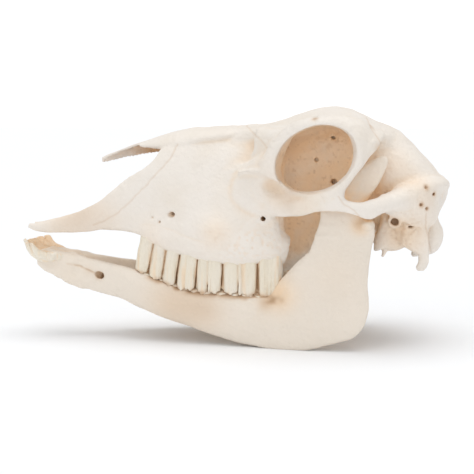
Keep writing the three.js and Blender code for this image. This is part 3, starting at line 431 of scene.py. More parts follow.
def smooth_path(points, steps, endless):
    """Points and directions along a smooth curve through the given points."""
    p = np.array(points, float)
    n = len(p)
    t = np.arange(steps if endless else steps + 1) / steps * (n if endless else n - 1)
    if endless:
        i = np.floor(t).astype(int) % n
        around = [p[(i + k) % n] for k in (-1, 0, 1, 2)]
    else:
        i = np.minimum(np.floor(t).astype(int), n - 2)
        padded = np.vstack([2 * p[0] - p[1], p, 2 * p[-1] - p[-2]])
        around = [padded[i + k] for k in range(4)]
    s = (t - i if not endless else t % 1)[:, None]
    a, b, c, d = around
    square, cube = 2 * a - 5 * b + 4 * c - d, 3 * b - a - 3 * c + d
    place = 0.5 * (2 * b + (c - a) * s + square * s**2 + cube * s**3)
    along = 0.5 * ((c - a) + 2 * square * s + 3 * cube * s**2)
    return t, place, along / np.linalg.norm(along, axis=1, keepdims=True)


def tube(rows, up=(0, 0, 1), steps=48, sides=28, endless=False):
    """Tube through rows of x, y, z, half height along up and half thickness across it."""
    t, centre, along = smooth_path([row[:3] for row in rows], steps, endless)
    sizes = [[i, row[3], row[4]] for i, row in enumerate(rows)]
    if endless:
        sizes.append([len(rows), rows[0][3], rows[0][4]])
    a, b = follow(sizes, 1, t)[:, None, None], follow(sizes, 2, t)[:, None, None]
    high = np.array(up, float) - along * (along @ np.array(up, float))[:, None]
    high /= np.linalg.norm(high, axis=1, keepdims=True)
    wide = np.cross(along, high)
    angle = 2 * np.pi * np.arange(sides) / sides
    rise, reach = np.sin(angle)[None, :, None], np.cos(angle)[None, :, None]
    ring = a * high[:, None] * rise + b * wide[:, None] * reach
    return skin(centre[:, None] + ring, endless)


def ellipsoid(centre, half):
    """Ellipsoid about a centre."""
    steps = np.linspace(-0.999, 0.999, 32)
    u, v = rounded(40, 2, 2)
    across = np.sqrt(1 - steps**2)[:, None]
    unit = np.stack([np.broadcast_to(steps[:, None], (32, 40)), across * u, across * v], axis=-1)
    return skin(np.array(centre) + unit * np.array(half))


def prism(outline, near, far):
    """Prism over an outline in the lengthwise plane between two distances from the midline."""
    flat = np.array(outline, float)
    ring = [np.stack([flat[:, 0], np.full(len(flat), y), flat[:, 1]], axis=-1) for y in (near, far)]
    return skin(np.array(ring))


class Field:
    """Signed distances in millimetres on a regular grid, negative inside the bone."""

    def __init__(self, low, high, pitch):
        self.pitch = pitch
        self.low = np.floor(np.array(low) / pitch).astype(int)
        self.high = np.ceil(np.array(high) / pitch).astype(int)
        self.values = np.full(self.high - self.low + 1, BAND * pitch, np.float32)

    def part(self, form):
        """The stretch of the grid that a form reaches, and its distances there."""
        points, triangles, quads = form
        grid = openvdb.FloatGrid.createLevelSetFromPolygons(
            points.astype(np.float32),
            triangles=triangles.astype(np.uint32),
            quads=quads.astype(np.uint32),
            transform=openvdb.createLinearTransform(voxelSize=self.pitch),
            halfWidth=BAND,
        )
        low, high = (np.array(corner) for corner in grid.evalActiveVoxelBoundingBox())
        low, high = np.maximum(low, self.low), np.minimum(high, self.high)
        values = np.empty(np.maximum(high - low + 1, 0), np.float32)
        grid.copyToArray(values, ijk=tuple(int(v) for v in low))
        begin, end = low - self.low, high - self.low + 1
        return tuple(slice(int(a), int(b)) for a, b in zip(begin, end)), values

    def add(self, form, blend):
        """Join a form to the bone with a rounded inner corner."""
        there, other = self.part(form)
        self.values[there] = smaller(self.values[there], other, blend, self.pitch)

    def cut(self, form, blend):
        """Take a form out of the bone with a rounded edge."""
        there, other = self.part(form)
        self.values[there] = -smaller(-self.values[there], other, blend, self.pitch)

    def keep_beyond(self, gap):
        """Keep only what lies beyond a distance from the midline."""
        y = (np.arange(self.low[1], self.high[1] + 1) * self.pitch).astype(np.float32)
        self.values = np.maximum(self.values, (gap - y)[None, :, None])

    def both_sides(self):
        """The field with its mirror image about the midline."""
        whole = Field([0, 0, 0], [0, 0, 0], self.pitch)
        whole.low = np.array([self.low[0], -self.high[1], self.low[2]])
        whole.high = self.high
        whole.values = np.concatenate([self.values[:, :0:-1], self.values], axis=1)
        return whole

    def other_side(self):
        """The mirror image of the field about the midline."""
        image = Field([0, 0, 0], [0, 0, 0], self.pitch)
        image.low = np.array([self.low[0], -self.high[1], self.low[2]])
        image.high = np.array([self.high[0], -self.low[1], self.high[2]])
        image.values = self.values[:, ::-1]
        return image

    def crease(self, points, cells, depth):
        """From 0 on a bulge to 1 in a hollow, over a width of some cells."""
        blurred = self.values
        for axis in range(3):
            for _ in range(2):
                blurred = running_mean(blurred, cells, axis)
        level = sample(blurred, points / self.pitch - self.low)
        return np.clip(0.5 - level / depth, 0, 1)

    def surface(self):
        """Points and quads of the surface."""
        grid = openvdb.FloatGrid(BAND * self.pitch)
        grid.copyFromArray(self.values, ijk=tuple(int(v) for v in self.low))
        grid.transform = openvdb.createLinearTransform(voxelSize=self.pitch)
        points, quads = grid.convertToQuads(isovalue=0.0)
        return points.astype(float), quads.astype(int)

    def coarse(self):
        """First cell and cells of the coarse grid that hold bone, with thin plates kept."""
        step = int(round(OPEN_PITCH / self.pitch))
        start = -self.low % step
        cells = self.values[start[0] :: step, start[1] :: step, start[2] :: step] < self.pitch
        return (self.low + start) // step, cells


class Openness:
    """How much of the room around a place is open, over all the bones together."""

    def __init__(self, fields):
        margin = int(OPEN_REACH / OPEN_PITCH) + 1
        parts = [field.coarse() for field in fields]
        self.low = np.min([low for low, _ in parts], axis=0) - margin
        high = np.max([low + cells.shape for low, cells in parts], axis=0) + margin
        solid = np.zeros(high - self.low, bool)
        for low, cells in parts:
            begin = low - self.low
            end = begin + cells.shape
            solid[begin[0] : end[0], begin[1] : end[1], begin[2] : end[2]] |= cells
        inner = tuple(slice(margin, n - margin) for n in solid.shape)
        self.low = self.low + margin
        self.share = np.zeros(solid[inner].shape, np.float32)
        for way in spread_ways(OPEN_WAYS):
            blocked = np.zeros(self.share.shape, bool)
            for step in range(1, margin):
                move = np.round(way * step).astype(int)
                blocked |= solid[tuple(slice(s.start + m, s.stop + m) for s, m in zip(inner, move))]
            self.share += ~blocked
        self.share /= OPEN_WAYS

    def hollow(self, points, normal, reach=4.0):
        """From 0 on a free surface to 1 deep in a hollow."""
        return 1 - sample(self.share, (points + normal * reach) / OPEN_PITCH - self.low) / 0.5


def spread_ways(count):
    """Directions spread evenly over a sphere."""
    k = np.arange(count) + 0.5
    height = 1 - 2 * k / count
    turn = np.pi * (1 + 5**0.5) * k
    across = np.sqrt(1 - height**2)
    return np.stack([across * np.cos(turn), across * np.sin(turn), height], axis=-1)


def smaller(a, b, blend, pitch):
    """The smaller of two fields, with a corner between them filled and level stretches left alone."""
    if blend <= 0:
        return np.minimum(a, b)
    near = np.maximum(blend - np.abs(a - b), 0) / blend
    facing = sum(one * other for one, other in zip(np.gradient(a, pitch), np.gradient(b, pitch)))
    return np.minimum(a, b) - near * near * (blend / 4) * np.clip(1.15 - facing, 0, 1)


def running_mean(values, width, axis):
    """Mean of the cells within a width of each cell along one axis."""
    ends = [(width + 1, width) if k == axis else (0, 0) for k in range(3)]
    total = np.cumsum(np.pad(values, ends, mode="edge"), axis=axis)
    span = 2 * width + 1
    count = total.shape[axis]
    ahead = total.take(range(span, count), axis=axis)
    behind = total.take(range(count - span), axis=axis)
    return (ahead - behind) / span


def between(values, i, f):
    """Values of a grid at shares f of the way past the cells i, going round at its far end."""
    result = 0
    for corner in np.ndindex(2, 2, 2):
        weight = np.prod(np.where(corner, f, 1 - f), axis=1)
        x, y, z = ((i + corner) % values.shape).T
        result = result + weight * values[x, y, z]
    return result


def sample(values, spot):
    """Values of a grid between its cells."""
    spot = np.clip(spot, 0, np.array(values.shape) - 1.001)
    i = spot.astype(int)
    return between(values, i, spot - i)


def noise(places, scale, seed):
    """Smooth random values from -1 to 1 that change over the scale."""
    lattice = np.random.default_rng(seed).uniform(-1, 1, (32, 32, 32))
    spot = places / scale
    i = np.floor(spot).astype(int)
    f = spot - i
    return between(lattice, i, f * f * (3 - 2 * f))


def normals_of(points, quads):
    """Outward directions at the points of a surface."""
    a, b, c, d = (points[quads[:, k]] for k in range(4))
    face = np.cross(c - a, d - b)
    sums = [
        sum(np.bincount(quads[:, k], face[:, axis], len(points)) for k in range(4)) for axis in range(3)
    ]
    total = np.stack(sums, axis=-1)
    return total / np.maximum(np.linalg.norm(total, axis=1, keepdims=True), 1e-9)


def swept(points):
    """Places in the skull of points given on straight axes: its sides fall back and down."""
    x, y, z = points.T
    lateral = np.hypot(y, MIDLINE_ROUNDING)
    return np.stack(
        [
            x - SWEEP_DRAW * x**2 + SWEEP_BACK * lateral + ORIGIN_SHIFT,
            y,
            np.maximum(z + SWEEP_DROOP * x + SWEEP_DOWN * (SWEEP_LEVEL - lateral), 0),
        ],
        axis=-1,
    )


def near_line(points, line):
    """Distance of points from a line of stretches in the lengthwise plane."""
    flat = points[:, [0, 2]]
    nearest = np.full(len(flat), 1e9)
    for start, end in zip(np.array(line[:-1], float), np.array(line[1:], float)):
        step = end - start
        share = np.clip((flat - start) @ step / (step @ step), 0, 1)
        nearest = np.minimum(nearest, np.linalg.norm(flat - start - share[:, None] * step, axis=1))
    return nearest


def orbit_rim():
    """Raised rim of the eye socket."""
    angle = 2 * np.pi * np.arange(12) / 12
    a = (ORBIT_HALF_LENGTH + RIM_RADIAL) * np.cos(angle)
    b = (ORBIT_HALF_HEIGHT + RIM_RADIAL) * np.sin(angle)
    x = ORBIT_X + a * math.cos(ORBIT_TILT) - b * math.sin(ORBIT_TILT)
    z = ORBIT_Z + a * math.sin(ORBIT_TILT) + b * math.cos(ORBIT_TILT)
    y = ORBIT_Y + ORBIT_SPLAY * (x - ORBIT_X)
    rows = [[*place, RIM_AXIAL, RIM_RADIAL] for place in zip(x, y, z)]
    return tube(rows, up=(0, 1, 0), steps=96, sides=20, endless=True)


def orbit_hollow():
    """Hollow of the eye socket, narrowing to the middle wall."""
    rows = [
        [ORBIT_X + dx, y, ORBIT_Z + dz, share * ORBIT_HALF_LENGTH, share * ORBIT_HALF_HEIGHT]
        for y, share, dx, dz in ORBIT_SECTIONS
    ]
    return tube(rows, up=(math.cos(ORBIT_TILT), 0, math.sin(ORBIT_TILT)), sides=48)


def nasal_plate(side):
    """Nasal bone: a quarter-round roof plate from the midline to its outer edge."""
    rows = NASAL_TIP[side] + NASAL_REAR
    x = np.linspace(rows[0][0], rows[-1][0], 90)
    ridge, drop, width, thick = (follow(rows, column, x)[:, None] for column in (1, 2, 3, 4))
    angle = np.linspace(0, np.pi / 2, 14)

    def arc(inset):
        y = np.maximum((width - inset * 0.75) * np.sin(angle), SUTURE / 2)
        return y, ridge - drop * (1 - np.cos(angle)) - inset

    over_y, over_z = arc(0)
    under_y, under_z = arc(thick)
    y = np.hstack([over_y, under_y[:, ::-1]])
    z = np.hstack([over_z, under_z[:, ::-1]])
    return skin(np.stack([np.broadcast_to(x[:, None], y.shape), y, z], axis=-1))


def other_side(form):
    """A form mirrored about the midline."""
    points, triangles, quads = form
    return points * np.array([1, -1, 1]), triangles, quads


def canal(mouth, end, half_height, half_length):
    """Small canal from its mouth into the bone."""
    rows = [[*mouth, half_height, half_length], [*end, half_height * 0.8, half_length * 0.8]]
    return tube(rows, up=(0.2, 0, 1), steps=6, sides=16)


def bite(x, y):
    """Height of the biting plane, which rises towards the tongue."""
    return follow(UPPER_ROW, 4, x) + OCCLUSAL_SLOPE * (follow(UPPER_ROW, 1, x) - y)


def lobe(x, y, half_length, half_width, root, gap, lean, power=2.6):
    """One lobe of a cheek tooth: a column from its root in the bone to its slanted biting face."""
    t = np.linspace(0, 1, 24)[:, None]
    swell = 1 + LOBE_SWELL * np.sin(np.pi * t)
    y = y - ROOT_SETBACK * np.clip(1 - t / ROOT_CURVE, 0, 1) ** 2
    u, v = rounded(28, power, power)
    px = x + half_length * swell * u - lean * t
    py = y + half_width * swell * v
    edge = bite(px.ravel(), py.ravel()).reshape(px.shape) + gap
    return skin(np.stack([px, py, root + (edge - root) * t], axis=-1))


def lobe_places(teeth, start):
    """Middle, half length and place in its tooth of each lobe in a row of cheek teeth."""
    for length, count in teeth:
        for i in range(count):
            yield start + length * (i + 0.5) / count, length / count / 2, i
        start += length


def upper_teeth():
    """Upper cheek teeth with the upright ribs on their outer face."""
    field = Field([-72, 10, 24], [34, 46, 66], FINE_PITCH)
    chance = np.random.default_rng(5)
    for x, half, i in lobe_places(UPPER_TEETH, UPPER_START):
        outer, width, gum, _, lean = (float(follow(UPPER_ROW, c, np.array([x]))[0]) for c in range(1, 6))
        root = gum + UPPER_ROOT_DEPTH
        middle = x + lean / 2 + chance.uniform(-LOBE_SHIFT, LOBE_SHIFT)
        level = OCCLUSAL_GAP / 2 + chance.uniform(LEAST_WEAR, MOST_WEAR)
        outer = outer - TOOTH_INSET
        core = lobe(middle, outer - width - 1.2, half * 1.06, width - 1.2, root, level + 0.6, lean, 4)
        column = lobe(middle, outer - width, half * 0.9, width, root, level, lean, 3)
        rib = lobe(middle - half * 0.1, outer - 0.8, half * 0.18, 1.0, root, level - 0.8, lean, 2)
        field.add(core, 0.4)
        field.add(column, 0.5)
        field.add(rib, 1.6)
        if i > 0:
            field.add(lobe(middle - half, outer - 1.2, 0.8, 1.2, root, level - 0.3, lean, 2), 1.0)
    return field


def lower_teeth():
    """Lower cheek teeth."""
    field = Field([-62, 10, 12], [30, 44, 52], FINE_PITCH)
    for x, half, _ in lobe_places(LOWER_TEETH, LOWER_START):
        place = np.array([x])
        jaw_top = float((follow(JAW_BODY, 2, place) + follow(JAW_BODY, 4, place))[0])
        y, width = float(follow(LOWER_ROW, 1, place)[0]), float(follow(LOWER_ROW, 2, place)[0])
        field.add(lobe(x, y, half * 0.98, width, jaw_top - LOWER_ROOT_DEPTH, -OCCLUSAL_GAP / 2, 0), 0.5)
    return field


def front_teeth(side):
    """Fan of front teeth of one side."""
    field = Field([-134, -1, 40], [-98, 24, 62], FINE_PITCH)
    for tip, neck, root, half in INCISORS[side]:
        bulge = [(1 - CROWN_BULGE) * n + CROWN_BULGE * t for n, t in zip(neck, tip)]
        bulge[2] -= CROWN_SAG
        places = (root, neck, bulge, tip)
        rows = [[*place, half * share, thick] for place, (share, thick) in zip(places, FRONT_TOOTH)]
        field.add(tube(rows, up=(0.35 * tip[1] / 12, 1, 0), steps=24, sides=24), 0.3)
    field.keep_beyond(SUTURE / 2)
    return field


def ear_tube(radius, start, end):
    """Round tube outwards along the ear."""
    rows = [[EAR_X, start, EAR_Z, radius, radius], [EAR_X, end, EAR_Z, radius, radius]]
    return tube(rows, steps=6)


def cranium_field():
    """Upper skull, from its swellings to its smallest canals, with unlike nasal tips."""
    field = Field([-132, 0, 40], [134, 68, 146], BONE_PITCH)
    field.add(midline(FACE, 2.6, 7), 0)
    field.add(tube(ALVEOLAR_RIDGE), 6)
    field.add(tube(CHEEK), 8)
    field.cut(midline(NASAL_CAVITY, 3, 3), 1.5)
    field.cut(prism(NASAL_NOTCH, -1, 40), 0.8)
    field.add(tube(INCISIVE_BODY), 3)
    field.add(tube(PALATINE_PROCESS), 1.5)
    field.add(midline(VAULT), 5)
    field.add(midline(FOREHEAD, 2.5, 2.5), 8)
    field.add(midline(SKULL_BASE), 5)
    for rows, blend in ((MASTOID, 5), (TEMPORAL_CREST, 5), (ARCH, 6), (JAW_JOINT, 5)):
        field.add(tube(rows), blend)
    field.add(upright(TYMPANIC), 3)
    field.add(upright(JUGULAR_PROCESS), 4)
    field.add(lengthwise(PTERYGOID, 4, 3), 4)
    field.add(ellipsoid(*OCCIPITAL_CONDYLE), 6)
    field.add(ellipsoid(*BULLA), 3)
    field.add(tube(HYOID_SPUR, up=(1, 0, 0)), 1.5)
    field.add(tube(POSTORBITAL_BAR, up=(1, 0, 0)), 5)
    field.add(tube(BROW), 8)
    field.add(tube(CHEEK_RIM), 8)
    field.add(orbit_rim(), 8)
    for hollow in LACRIMAL_FOSSA:
        field.cut(ellipsoid(*hollow), 4)
    field.add(tube(LACRIMAL_RIDGE), 2.5)
    field.add(ear_tube(EAR_OUTER, *EAR_TUBE_SPAN), 1.2)
    field.cut(orbit_hollow(), 1.2)
    field.cut(ear_tube(EAR_BORE, *EAR_BORE_SPAN), 0.6)
    field.cut(tube(FORAMEN_MAGNUM), 1.5)
    field.cut(midline(CHOANA, 3, 3), 1.5)
    for pit in NUCHAL_PITS:
        field.cut(ellipsoid(*pit), 0.8)
    for small_canal in CANALS:
        field.cut(canal(*small_canal), 1.0)
    whole = field.both_sides()
    whole.add(nasal_plate(RIGHT), 1.0)
    whole.add(other_side(nasal_plate(LEFT)), 1.0)
    return whole


def jaw_field():
    """Lower jaw of one side."""
    field = Field([-128, -2, -4], [104, 64, 116], BONE_PITCH)
    field.add(lengthwise(JAW_BODY, 2.6, 2.4), 0)
    field.add(upright(RAMUS, 3), 7)
    field.add(upright(CORONOID, 2.4), 4)
    field.add(tube(JAW_CONDYLE), 4)
    field.cut(ellipsoid(*RETROMOLAR_HOLLOW), 4)
    field.add(tube(RETROMOLAR_RIDGE), 5)
    field.cut(canal(*MENTAL_CANAL), 1.0)
    field.keep_beyond(SUTURE / 2)
    return field


def add_object(name, points, quads, material, attributes, nodes, slot):
    """Object of the scene from a surface in millimetres on straight axes."""
    mesh = bpy.data.meshes.new(name)
    mesh.vertices.add(len(points))
    mesh.vertices.foreach_set("co", (swept(points) * MM).astype(np.float32).ravel())
    mesh.loops.add(quads.size)
    mesh.loops.foreach_set("vertex_index", quads.astype(np.int32).ravel())
    mesh.polygons.add(len(quads))
    mesh.polygons.foreach_set("loop_start", np.arange(0, quads.size, 4, dtype=np.int32))
    mesh.update(calc_edges=True)
    mesh.validate()
    mesh.shade_smooth()
    for label, values in attributes.items():
        mesh.attributes.new(label, "FLOAT", "POINT").data.foreach_set("value", values.astype(np.float32))
    made = bpy.data.objects.new(name, mesh)
    bpy.context.scene.collection.objects.link(made)
    mesh.materials.append(material)
    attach(made, "root")
    if nodes:
        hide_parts(*nodes)
    return made


def mirrored(points, quads):
    """The same surface on the other side of the midline."""
    return points * np.array([1, -1, 1]), quads[:, ::-1]


def stretch(values, low, high):
    """Values from low to high as 0 to 1, eased at both ends."""
    t = np.clip((values - low) / (high - low), 0, 1)
    return t * t * (3 - 2 * t)


def outward(field):
    """Surface of a field with its faces pointing out, and its outward directions."""
    points, quads = field.surface()
    normal = normals_of(points, quads)
    if normal[np.argmax(points[:, 2]), 2] < 0:
        quads, normal = quads[:, ::-1], -normal
    return points, quads, normal


def seams(points):
    """From 0 to 1 towards the sutures, which wander a little."""
    lateral = np.abs(points[:, 1])
    wander = points + np.stack([noise(points, 3, seed) for seed in (1, 2, 3)], axis=-1) * 0.5
    share = np.zeros(len(points))
    for line, near, far in SUTURES:
        inside = (lateral > near) & (lateral < far)
        closeness = np.exp(-((near_line(wander, line) / SEAM_WIDTH) ** 2))
        share = np.maximum(share, np.where(inside, closeness, 0))
    return share


def zone(points, x, z, length, height):
    """From 0 to 1 towards the middle of a zone of the lengthwise plane."""
    return np.exp(-(((points[:, 0] - x) / length) ** 2) - ((points[:, 2] - z) / height) ** 2)


def make_cranium(field, openness, material):
    """Upper skull with its sutures and roughened bone."""
    points, quads, normal = outward(field)
    seam = seams(points)
    gums, ear = zone(points, *PITTED_GUMS), zone(points, *PITTED_EAR)
    pits = np.maximum(noise(points, 1.5, 6), 0) * (gums * 0.45 + ear * 0.9)
    shelter = openness.hollow(points, normal)
    # Painted shade: broad dips of the surface are tinted tan and a little darker
    dip_shade = stretch(field.crease(points, DIP_CELLS, DIP_DEPTH), 0.54, 0.8)
    # Painted shade in sheltered hollows, joined with warm tints that are partly real staining and partly
    # painted shade
    shade_and_warmth = np.maximum(stretch(shelter, *SHELTERED), relief(points, SKULL_WARMTH_AND_SHADE))
    speckle = shade_and_warmth * stretch(noise(points, 1.4, 8), 0.35, 0.85) * 0.22
    # Painted shade: the deepest hollows and holes are darkened towards brown
    deep_hollow_shade = stretch(shelter, 0.93, 1) * 0.5
    # Darker tones: real stains, speckle, sutures and the pitted ear zone, with painted shade from the stain
    # table, broad dips, the deepest hollows and the pits
    stain_and_shade = relief(points, SKULL_STAINS_AND_SHADE) + speckle + dip_shade * 0.1 + deep_hollow_shade + seam * 0.14 + ear * 0.1 + pits * 0.2
    attributes = {
        # Painted shade: broad dips and the pits are tinted tan as well
        "shade_and_warmth": np.maximum(shade_and_warmth, np.maximum(dip_shade * 0.3, pits * 0.7)),
        "crease": field.crease(points, CREASE_CELLS, CREASE_DEPTH),
        "stain_and_shade": np.clip(stain_and_shade, 0, 1),
    }
    lumps = noise(points, 4.5, 7) * ear * 1.3
    lift = grain(points, BONE_GRAIN) + relief(points, SKULL_RELIEF) + lumps - pits - seam * 0.2
    points = points + normal * lift[:, None]
    bones = ("maxilla", "incisive", "zygomatic", "nasal")
    nodes = ["braincase"] + [f"{bone}_{side}" for bone in bones for side in ("left", "right")]
    add_object("cranium", points, quads, material, attributes, nodes, "bone")


def relief(points, swells):
    """Sum of gentle swells, alike on both sides."""
    place = np.abs(points * np.array([0, 1, 0])) + points * np.array([1, 0, 1])
    height = 0
    for centre, reach, top in swells:
        height = height + top * np.exp(-(((place - np.array(centre)) / reach) ** 2).sum(axis=1))
    return height


def grain(points, rows):
    """Unevenness from broad swells to fine grain, given as rows of width, height and seed."""
    return sum(noise(points, scale, seed) * height for scale, height, seed in rows)


def striation(points):
    """Upright ridges and hollows of worn enamel."""
    drawn_out = points * np.array([1, 1, 0.1])
    return grain(drawn_out, ENAMEL_GRAIN) + grain(points, [ENAMEL_SWELL])


def make_jaws(field, openness, material):
    """Both halves of the lower jaw."""
    points, quads, normal = outward(field)
    x, _, z = points.T
    shelter = openness.hollow(points, normal)
    # Painted shade: sheltered hollows and the faces turned towards the midline are tinted tan
    inner_face_shade = np.maximum(stretch(shelter, *SHELTERED), stretch(-normal[:, 1], 0.1, 0.8) * 0.15)
    ridge = follow(JAW_BODY, 2, x) + follow(JAW_BODY, 4, x)
    along = stretch(x, -60, -50) * (1 - stretch(x, 20, 30))
    gum = np.exp(-(((z - ridge) / 1.8) ** 2)) * along * stretch(noise(points, 4, 31), -0.6, 0.5)
    outer = stretch(normal[:, 1], 0.2, 0.6) * stretch(noise(points, 4, 34), -0.6, 0.4)
    groove = np.exp(-((near_line(points, MENTAL_GROOVE) / GROOVE_WIDTH) ** 2)) * outer
    # Painted shade: the deepest hollows are darkened towards brown
    deep_hollow_shade = stretch(shelter, 0.88, 1) * 0.6
    attributes = {
        "shade_and_warmth": np.maximum(inner_face_shade, relief(points, JAW_WARMTH_AND_SHADE)),
        "crease": field.crease(points, CREASE_CELLS, CREASE_DEPTH),
        # Darker tones: gum line, mental groove and real stains, with painted shade from the stain table and
        # the deepest hollows
        "stain_and_shade": np.clip(gum * 0.7 + relief(points, JAW_STAINS_AND_SHADE) + groove * 0.3 + deep_hollow_shade, 0, 1),
    }
    worn_front = noise(points, 5, 33) * stretch(-x, 84, 100) * 0.9
    lift = grain(points, BONE_GRAIN) + relief(points, JAW_RELIEF) + worn_front - groove * 0.5
    points = points + normal * lift[:, None]
    add_object("jaw_right", points, quads, material, attributes, ["mandible_right"], "jaw_bone")
    add_object("jaw_left", *mirrored(points, quads), material, attributes, ["mandible_left"], "jaw_bone")


def make_teeth(rows, openness, material):
    """All rows of teeth on both sides, with painted shade making the right front teeth yellower and darker.
    """
    for name, field, slot in rows:
        points, quads, normal = outward(field)
        shelter = stretch(openness.hollow(points, normal), 0.4, 0.95)
        crease = field.crease(points, CREASE_CELLS, CREASE_DEPTH)
        streak = stretch(noise(points * np.array([1, 1, 0.12]), 1.6, 24), 0, 0.8)
        front = name.startswith("front")
        # Painted shade: the right front teeth, on the far side, are made yellower and darker
        far_side_shade = name == "front_teeth_right"
        # Painted shade in sheltered places and on the right front teeth, with real tan streaks of the enamel
        warm = np.maximum(shelter, 0.45 * streak + far_side_shade * 0.8)
        # Painted shade darkens the creases between lobes, with the streaks and the right front teeth
        stain_and_shade = stretch(crease, 0.62, 0.98) * 0.75 + streak * 0.04 + far_side_shade * 0.12
        if not front:
            above = points[:, 2] - bite(points[:, 0], points[:, 1])
            # Patchy darker band along the biting plane
            patchy = stretch(noise(points, 3, 25), -0.4, 0.6)
            stain_and_shade = stain_and_shade + np.exp(-((above / 1.4) ** 2)) * patchy * 0.4
        attributes = {"shade_and_warmth": warm, "crease": crease, "stain_and_shade": np.clip(stain_and_shade, 0, 1)}
        points = points + normal * (striation(points) * (0.3 if front else 1))[:, None]
        if "left" not in name:
            add_object(name.replace("both", "right"), points, quads, material, attributes, [], slot)
        if "right" not in name:
            left = mirrored(points, quads)
            add_object(name.replace("both", "left"), *left, material, attributes, [], slot)


def mixed(tree, factor, first, second):
    """Colour node that goes from one colour or socket to another by a factor socket."""
    node = tree.nodes.new("ShaderNodeMix")
    node.data_type = "RGBA"
    tree.links.new(factor, node.inputs["Factor"])
    for inlet, value in (("A", first), ("B", second)):
        socket = next(s for s in node.inputs if s.name == inlet and s.type == "RGBA")
        if isinstance(value, tuple):
            socket.default_value = value
        else:
            tree.links.new(value, socket)
    return next(s for s in node.outputs if s.type == "RGBA")


def ranged(tree, source, low, high, to_low, to_high):
    """Socket that maps a value from one range to another."""
    node = tree.nodes.new("ShaderNodeMapRange")
    tree.links.new(source, node.inputs["Value"])
    for inlet, value in (("From Min", low), ("From Max", high), ("To Min", to_low), ("To Max", to_high)):
        node.inputs[inlet].default_value = value
    return node.outputs["Result"]


def clouds(tree, scale):
    """Noise over the object's own coordinates, with a grain per metre."""
    place = tree.nodes.new("ShaderNodeTexCoord")
    node = tree.nodes.new("ShaderNodeTexNoise")
    node.inputs["Scale"].default_value = scale
    node.inputs["Detail"].default_value = GRAIN_DETAIL
    tree.links.new(place.outputs["Object"], node.inputs["Vector"])
    return node.outputs["Fac"]


def attribute(tree, name):
    """Value of the surface under a name."""
    node = tree.nodes.new("ShaderNodeAttribute")
    node.attribute_name = name
    return node.outputs["Fac"]


def bone_material(name, pale, warm, roughness):
    """Dry bone: pale where it bulges, painted shade tan in its hollows and pale tan in its creases, and
    brown in its stains, seams and the painted shade of deep holes.
    """
    material = bpy.data.materials.new(name)
    material.use_nodes = True
    tree = material.node_tree
    shader = tree.nodes["Principled BSDF"]
    patch = ranged(tree, clouds(tree, PATCH_GRAIN), 0.4, 0.7, 0, 0.5)
    colour = mixed(tree, patch, pale, warm)
    # Painted shade: tan where the bone is sheltered, with warm tints that are partly real staining
    colour = mixed(tree, ranged(tree, attribute(tree, "shade_and_warmth"), 0, 1, 0, 0.95), colour, SHADE_TAN)
    # Painted shade: pale tan in fine creases
    colour = mixed(tree, ranged(tree, attribute(tree, "crease"), 0.52, 0.92, 0, 0.8), colour, CREASE_SHADE_TAN)
    # Stains and painted shade: tan first, then brown as the mark grows
    colour = mixed(tree, ranged(tree, attribute(tree, "stain_and_shade"), 0, 0.6, 0, 0.8), colour, SHADE_TAN)
    colour = mixed(tree, attribute(tree, "stain_and_shade"), colour, BROWN)
    tree.links.new(colour, shader.inputs["Base Color"])
    shader.inputs["Roughness"].default_value = roughness
    bump = tree.nodes.new("ShaderNodeBump")
    bump.inputs["Strength"].default_value = BUMP_STRENGTH
    bump.inputs["Distance"].default_value = BUMP_HEIGHT
    tree.links.new(clouds(tree, BUMP_GRAIN), bump.inputs["Height"])
    tree.links.new(bump.outputs["Normal"], shader.inputs["Normal"])
    return material


def sun_light(name, source, spread, strength):
    """Even light from a direction, softened over an angle in degrees."""
    data = bpy.data.lights.new(name, "SUN")
    data.angle = math.radians(spread)
    data.energy = strength
    lamp = bpy.data.objects.new(name, data)
    bpy.context.scene.collection.objects.link(lamp)
    lamp.rotation_euler = Vector(source).to_track_quat("Z", "Y").to_euler()


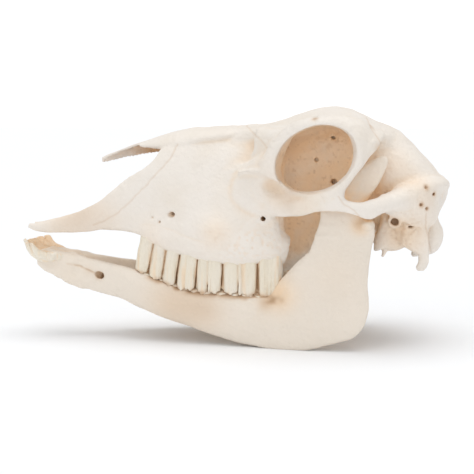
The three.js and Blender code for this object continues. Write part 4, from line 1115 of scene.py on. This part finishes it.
def make_stage():
    """Pale, level studio floor."""
    material = bpy.data.materials.new("studio_paper")
    material.use_nodes = True
    shader = material.node_tree.nodes["Principled BSDF"]
    shader.inputs["Base Color"].default_value = PAPER
    shader.inputs["Roughness"].default_value = 0.9
    mesh = bpy.data.meshes.new("studio_floor")
    corners = [(x * FLOOR_HALF, y * FLOOR_HALF, 0) for x, y in ((-1, -1), (1, -1), (1, 1), (-1, 1))]
    mesh.from_pydata(corners, [], [(0, 1, 2, 3)])
    floor = bpy.data.objects.new("studio_floor", mesh)
    mesh.materials.append(material)
    bpy.context.scene.collection.objects.link(floor)


def make_light():
    """Soft light from all round with a lamp overhead and one in front, before a white backdrop."""
    world = bpy.data.worlds.new("studio")
    world.use_nodes = True
    tree = world.node_tree
    background = tree.nodes["Background"]
    background.inputs["Color"].default_value = (1, 1, 1, 1)
    path = tree.nodes.new("ShaderNodeLightPath")
    strength = ranged(tree, path.outputs["Is Camera Ray"], 0, 1, AMBIENT, BACKDROP)
    tree.links.new(strength, background.inputs["Strength"])
    bpy.context.scene.world = world
    bpy.context.scene.view_settings.view_transform = "Standard"
    sun_light("key", *KEY_LAMP)
    sun_light("fill", *FILL_LAMP)


def make_camera():
    """Camera where the photograph was taken from, for a square picture."""
    data = bpy.data.cameras.new("photo")
    data.sensor_width = CAMERA_SENSOR
    data.lens = CAMERA_LENS
    data.clip_end = CAMERA_REACH
    camera = bpy.data.objects.new("photo", data)
    bpy.context.scene.collection.objects.link(camera)
    place, aim = Vector(CAMERA_PLACE), Vector(CAMERA_AIM)
    camera.location = place
    camera.rotation_euler = (aim - place).to_track_quat("-Z", "Y").to_euler()
    bpy.context.scene.camera = camera


bone = bone_material("bone", IVORY, WARM_BONE, 0.55)
# Painted shade: the lower jaw's material is a darker, warmer copy of the bone
jaw_bone = bone_material("jaw_bone", JAW_SHADED_IVORY, WARM_BONE, 0.55)
enamel = bone_material("enamel", ENAMEL, IVORY, 0.35)
cranium = cranium_field()
jaw = jaw_field()
tooth_rows = [
    ("upper_teeth_both", upper_teeth(), "bone"),
    ("lower_teeth_both", lower_teeth(), "jaw_bone"),
    ("front_teeth_left", front_teeth(LEFT), "jaw_bone"),
    ("front_teeth_right", front_teeth(RIGHT), "jaw_bone"),
]
one_side = [jaw, *(field for _, field, _ in tooth_rows)]
openness = Openness([cranium, *one_side, *(field.other_side() for field in one_side)])
make_cranium(cranium, openness, bone)
make_jaws(jaw, openness, jaw_bone)
make_teeth(tooth_rows, openness, enamel)
make_stage()
make_light()
make_camera()
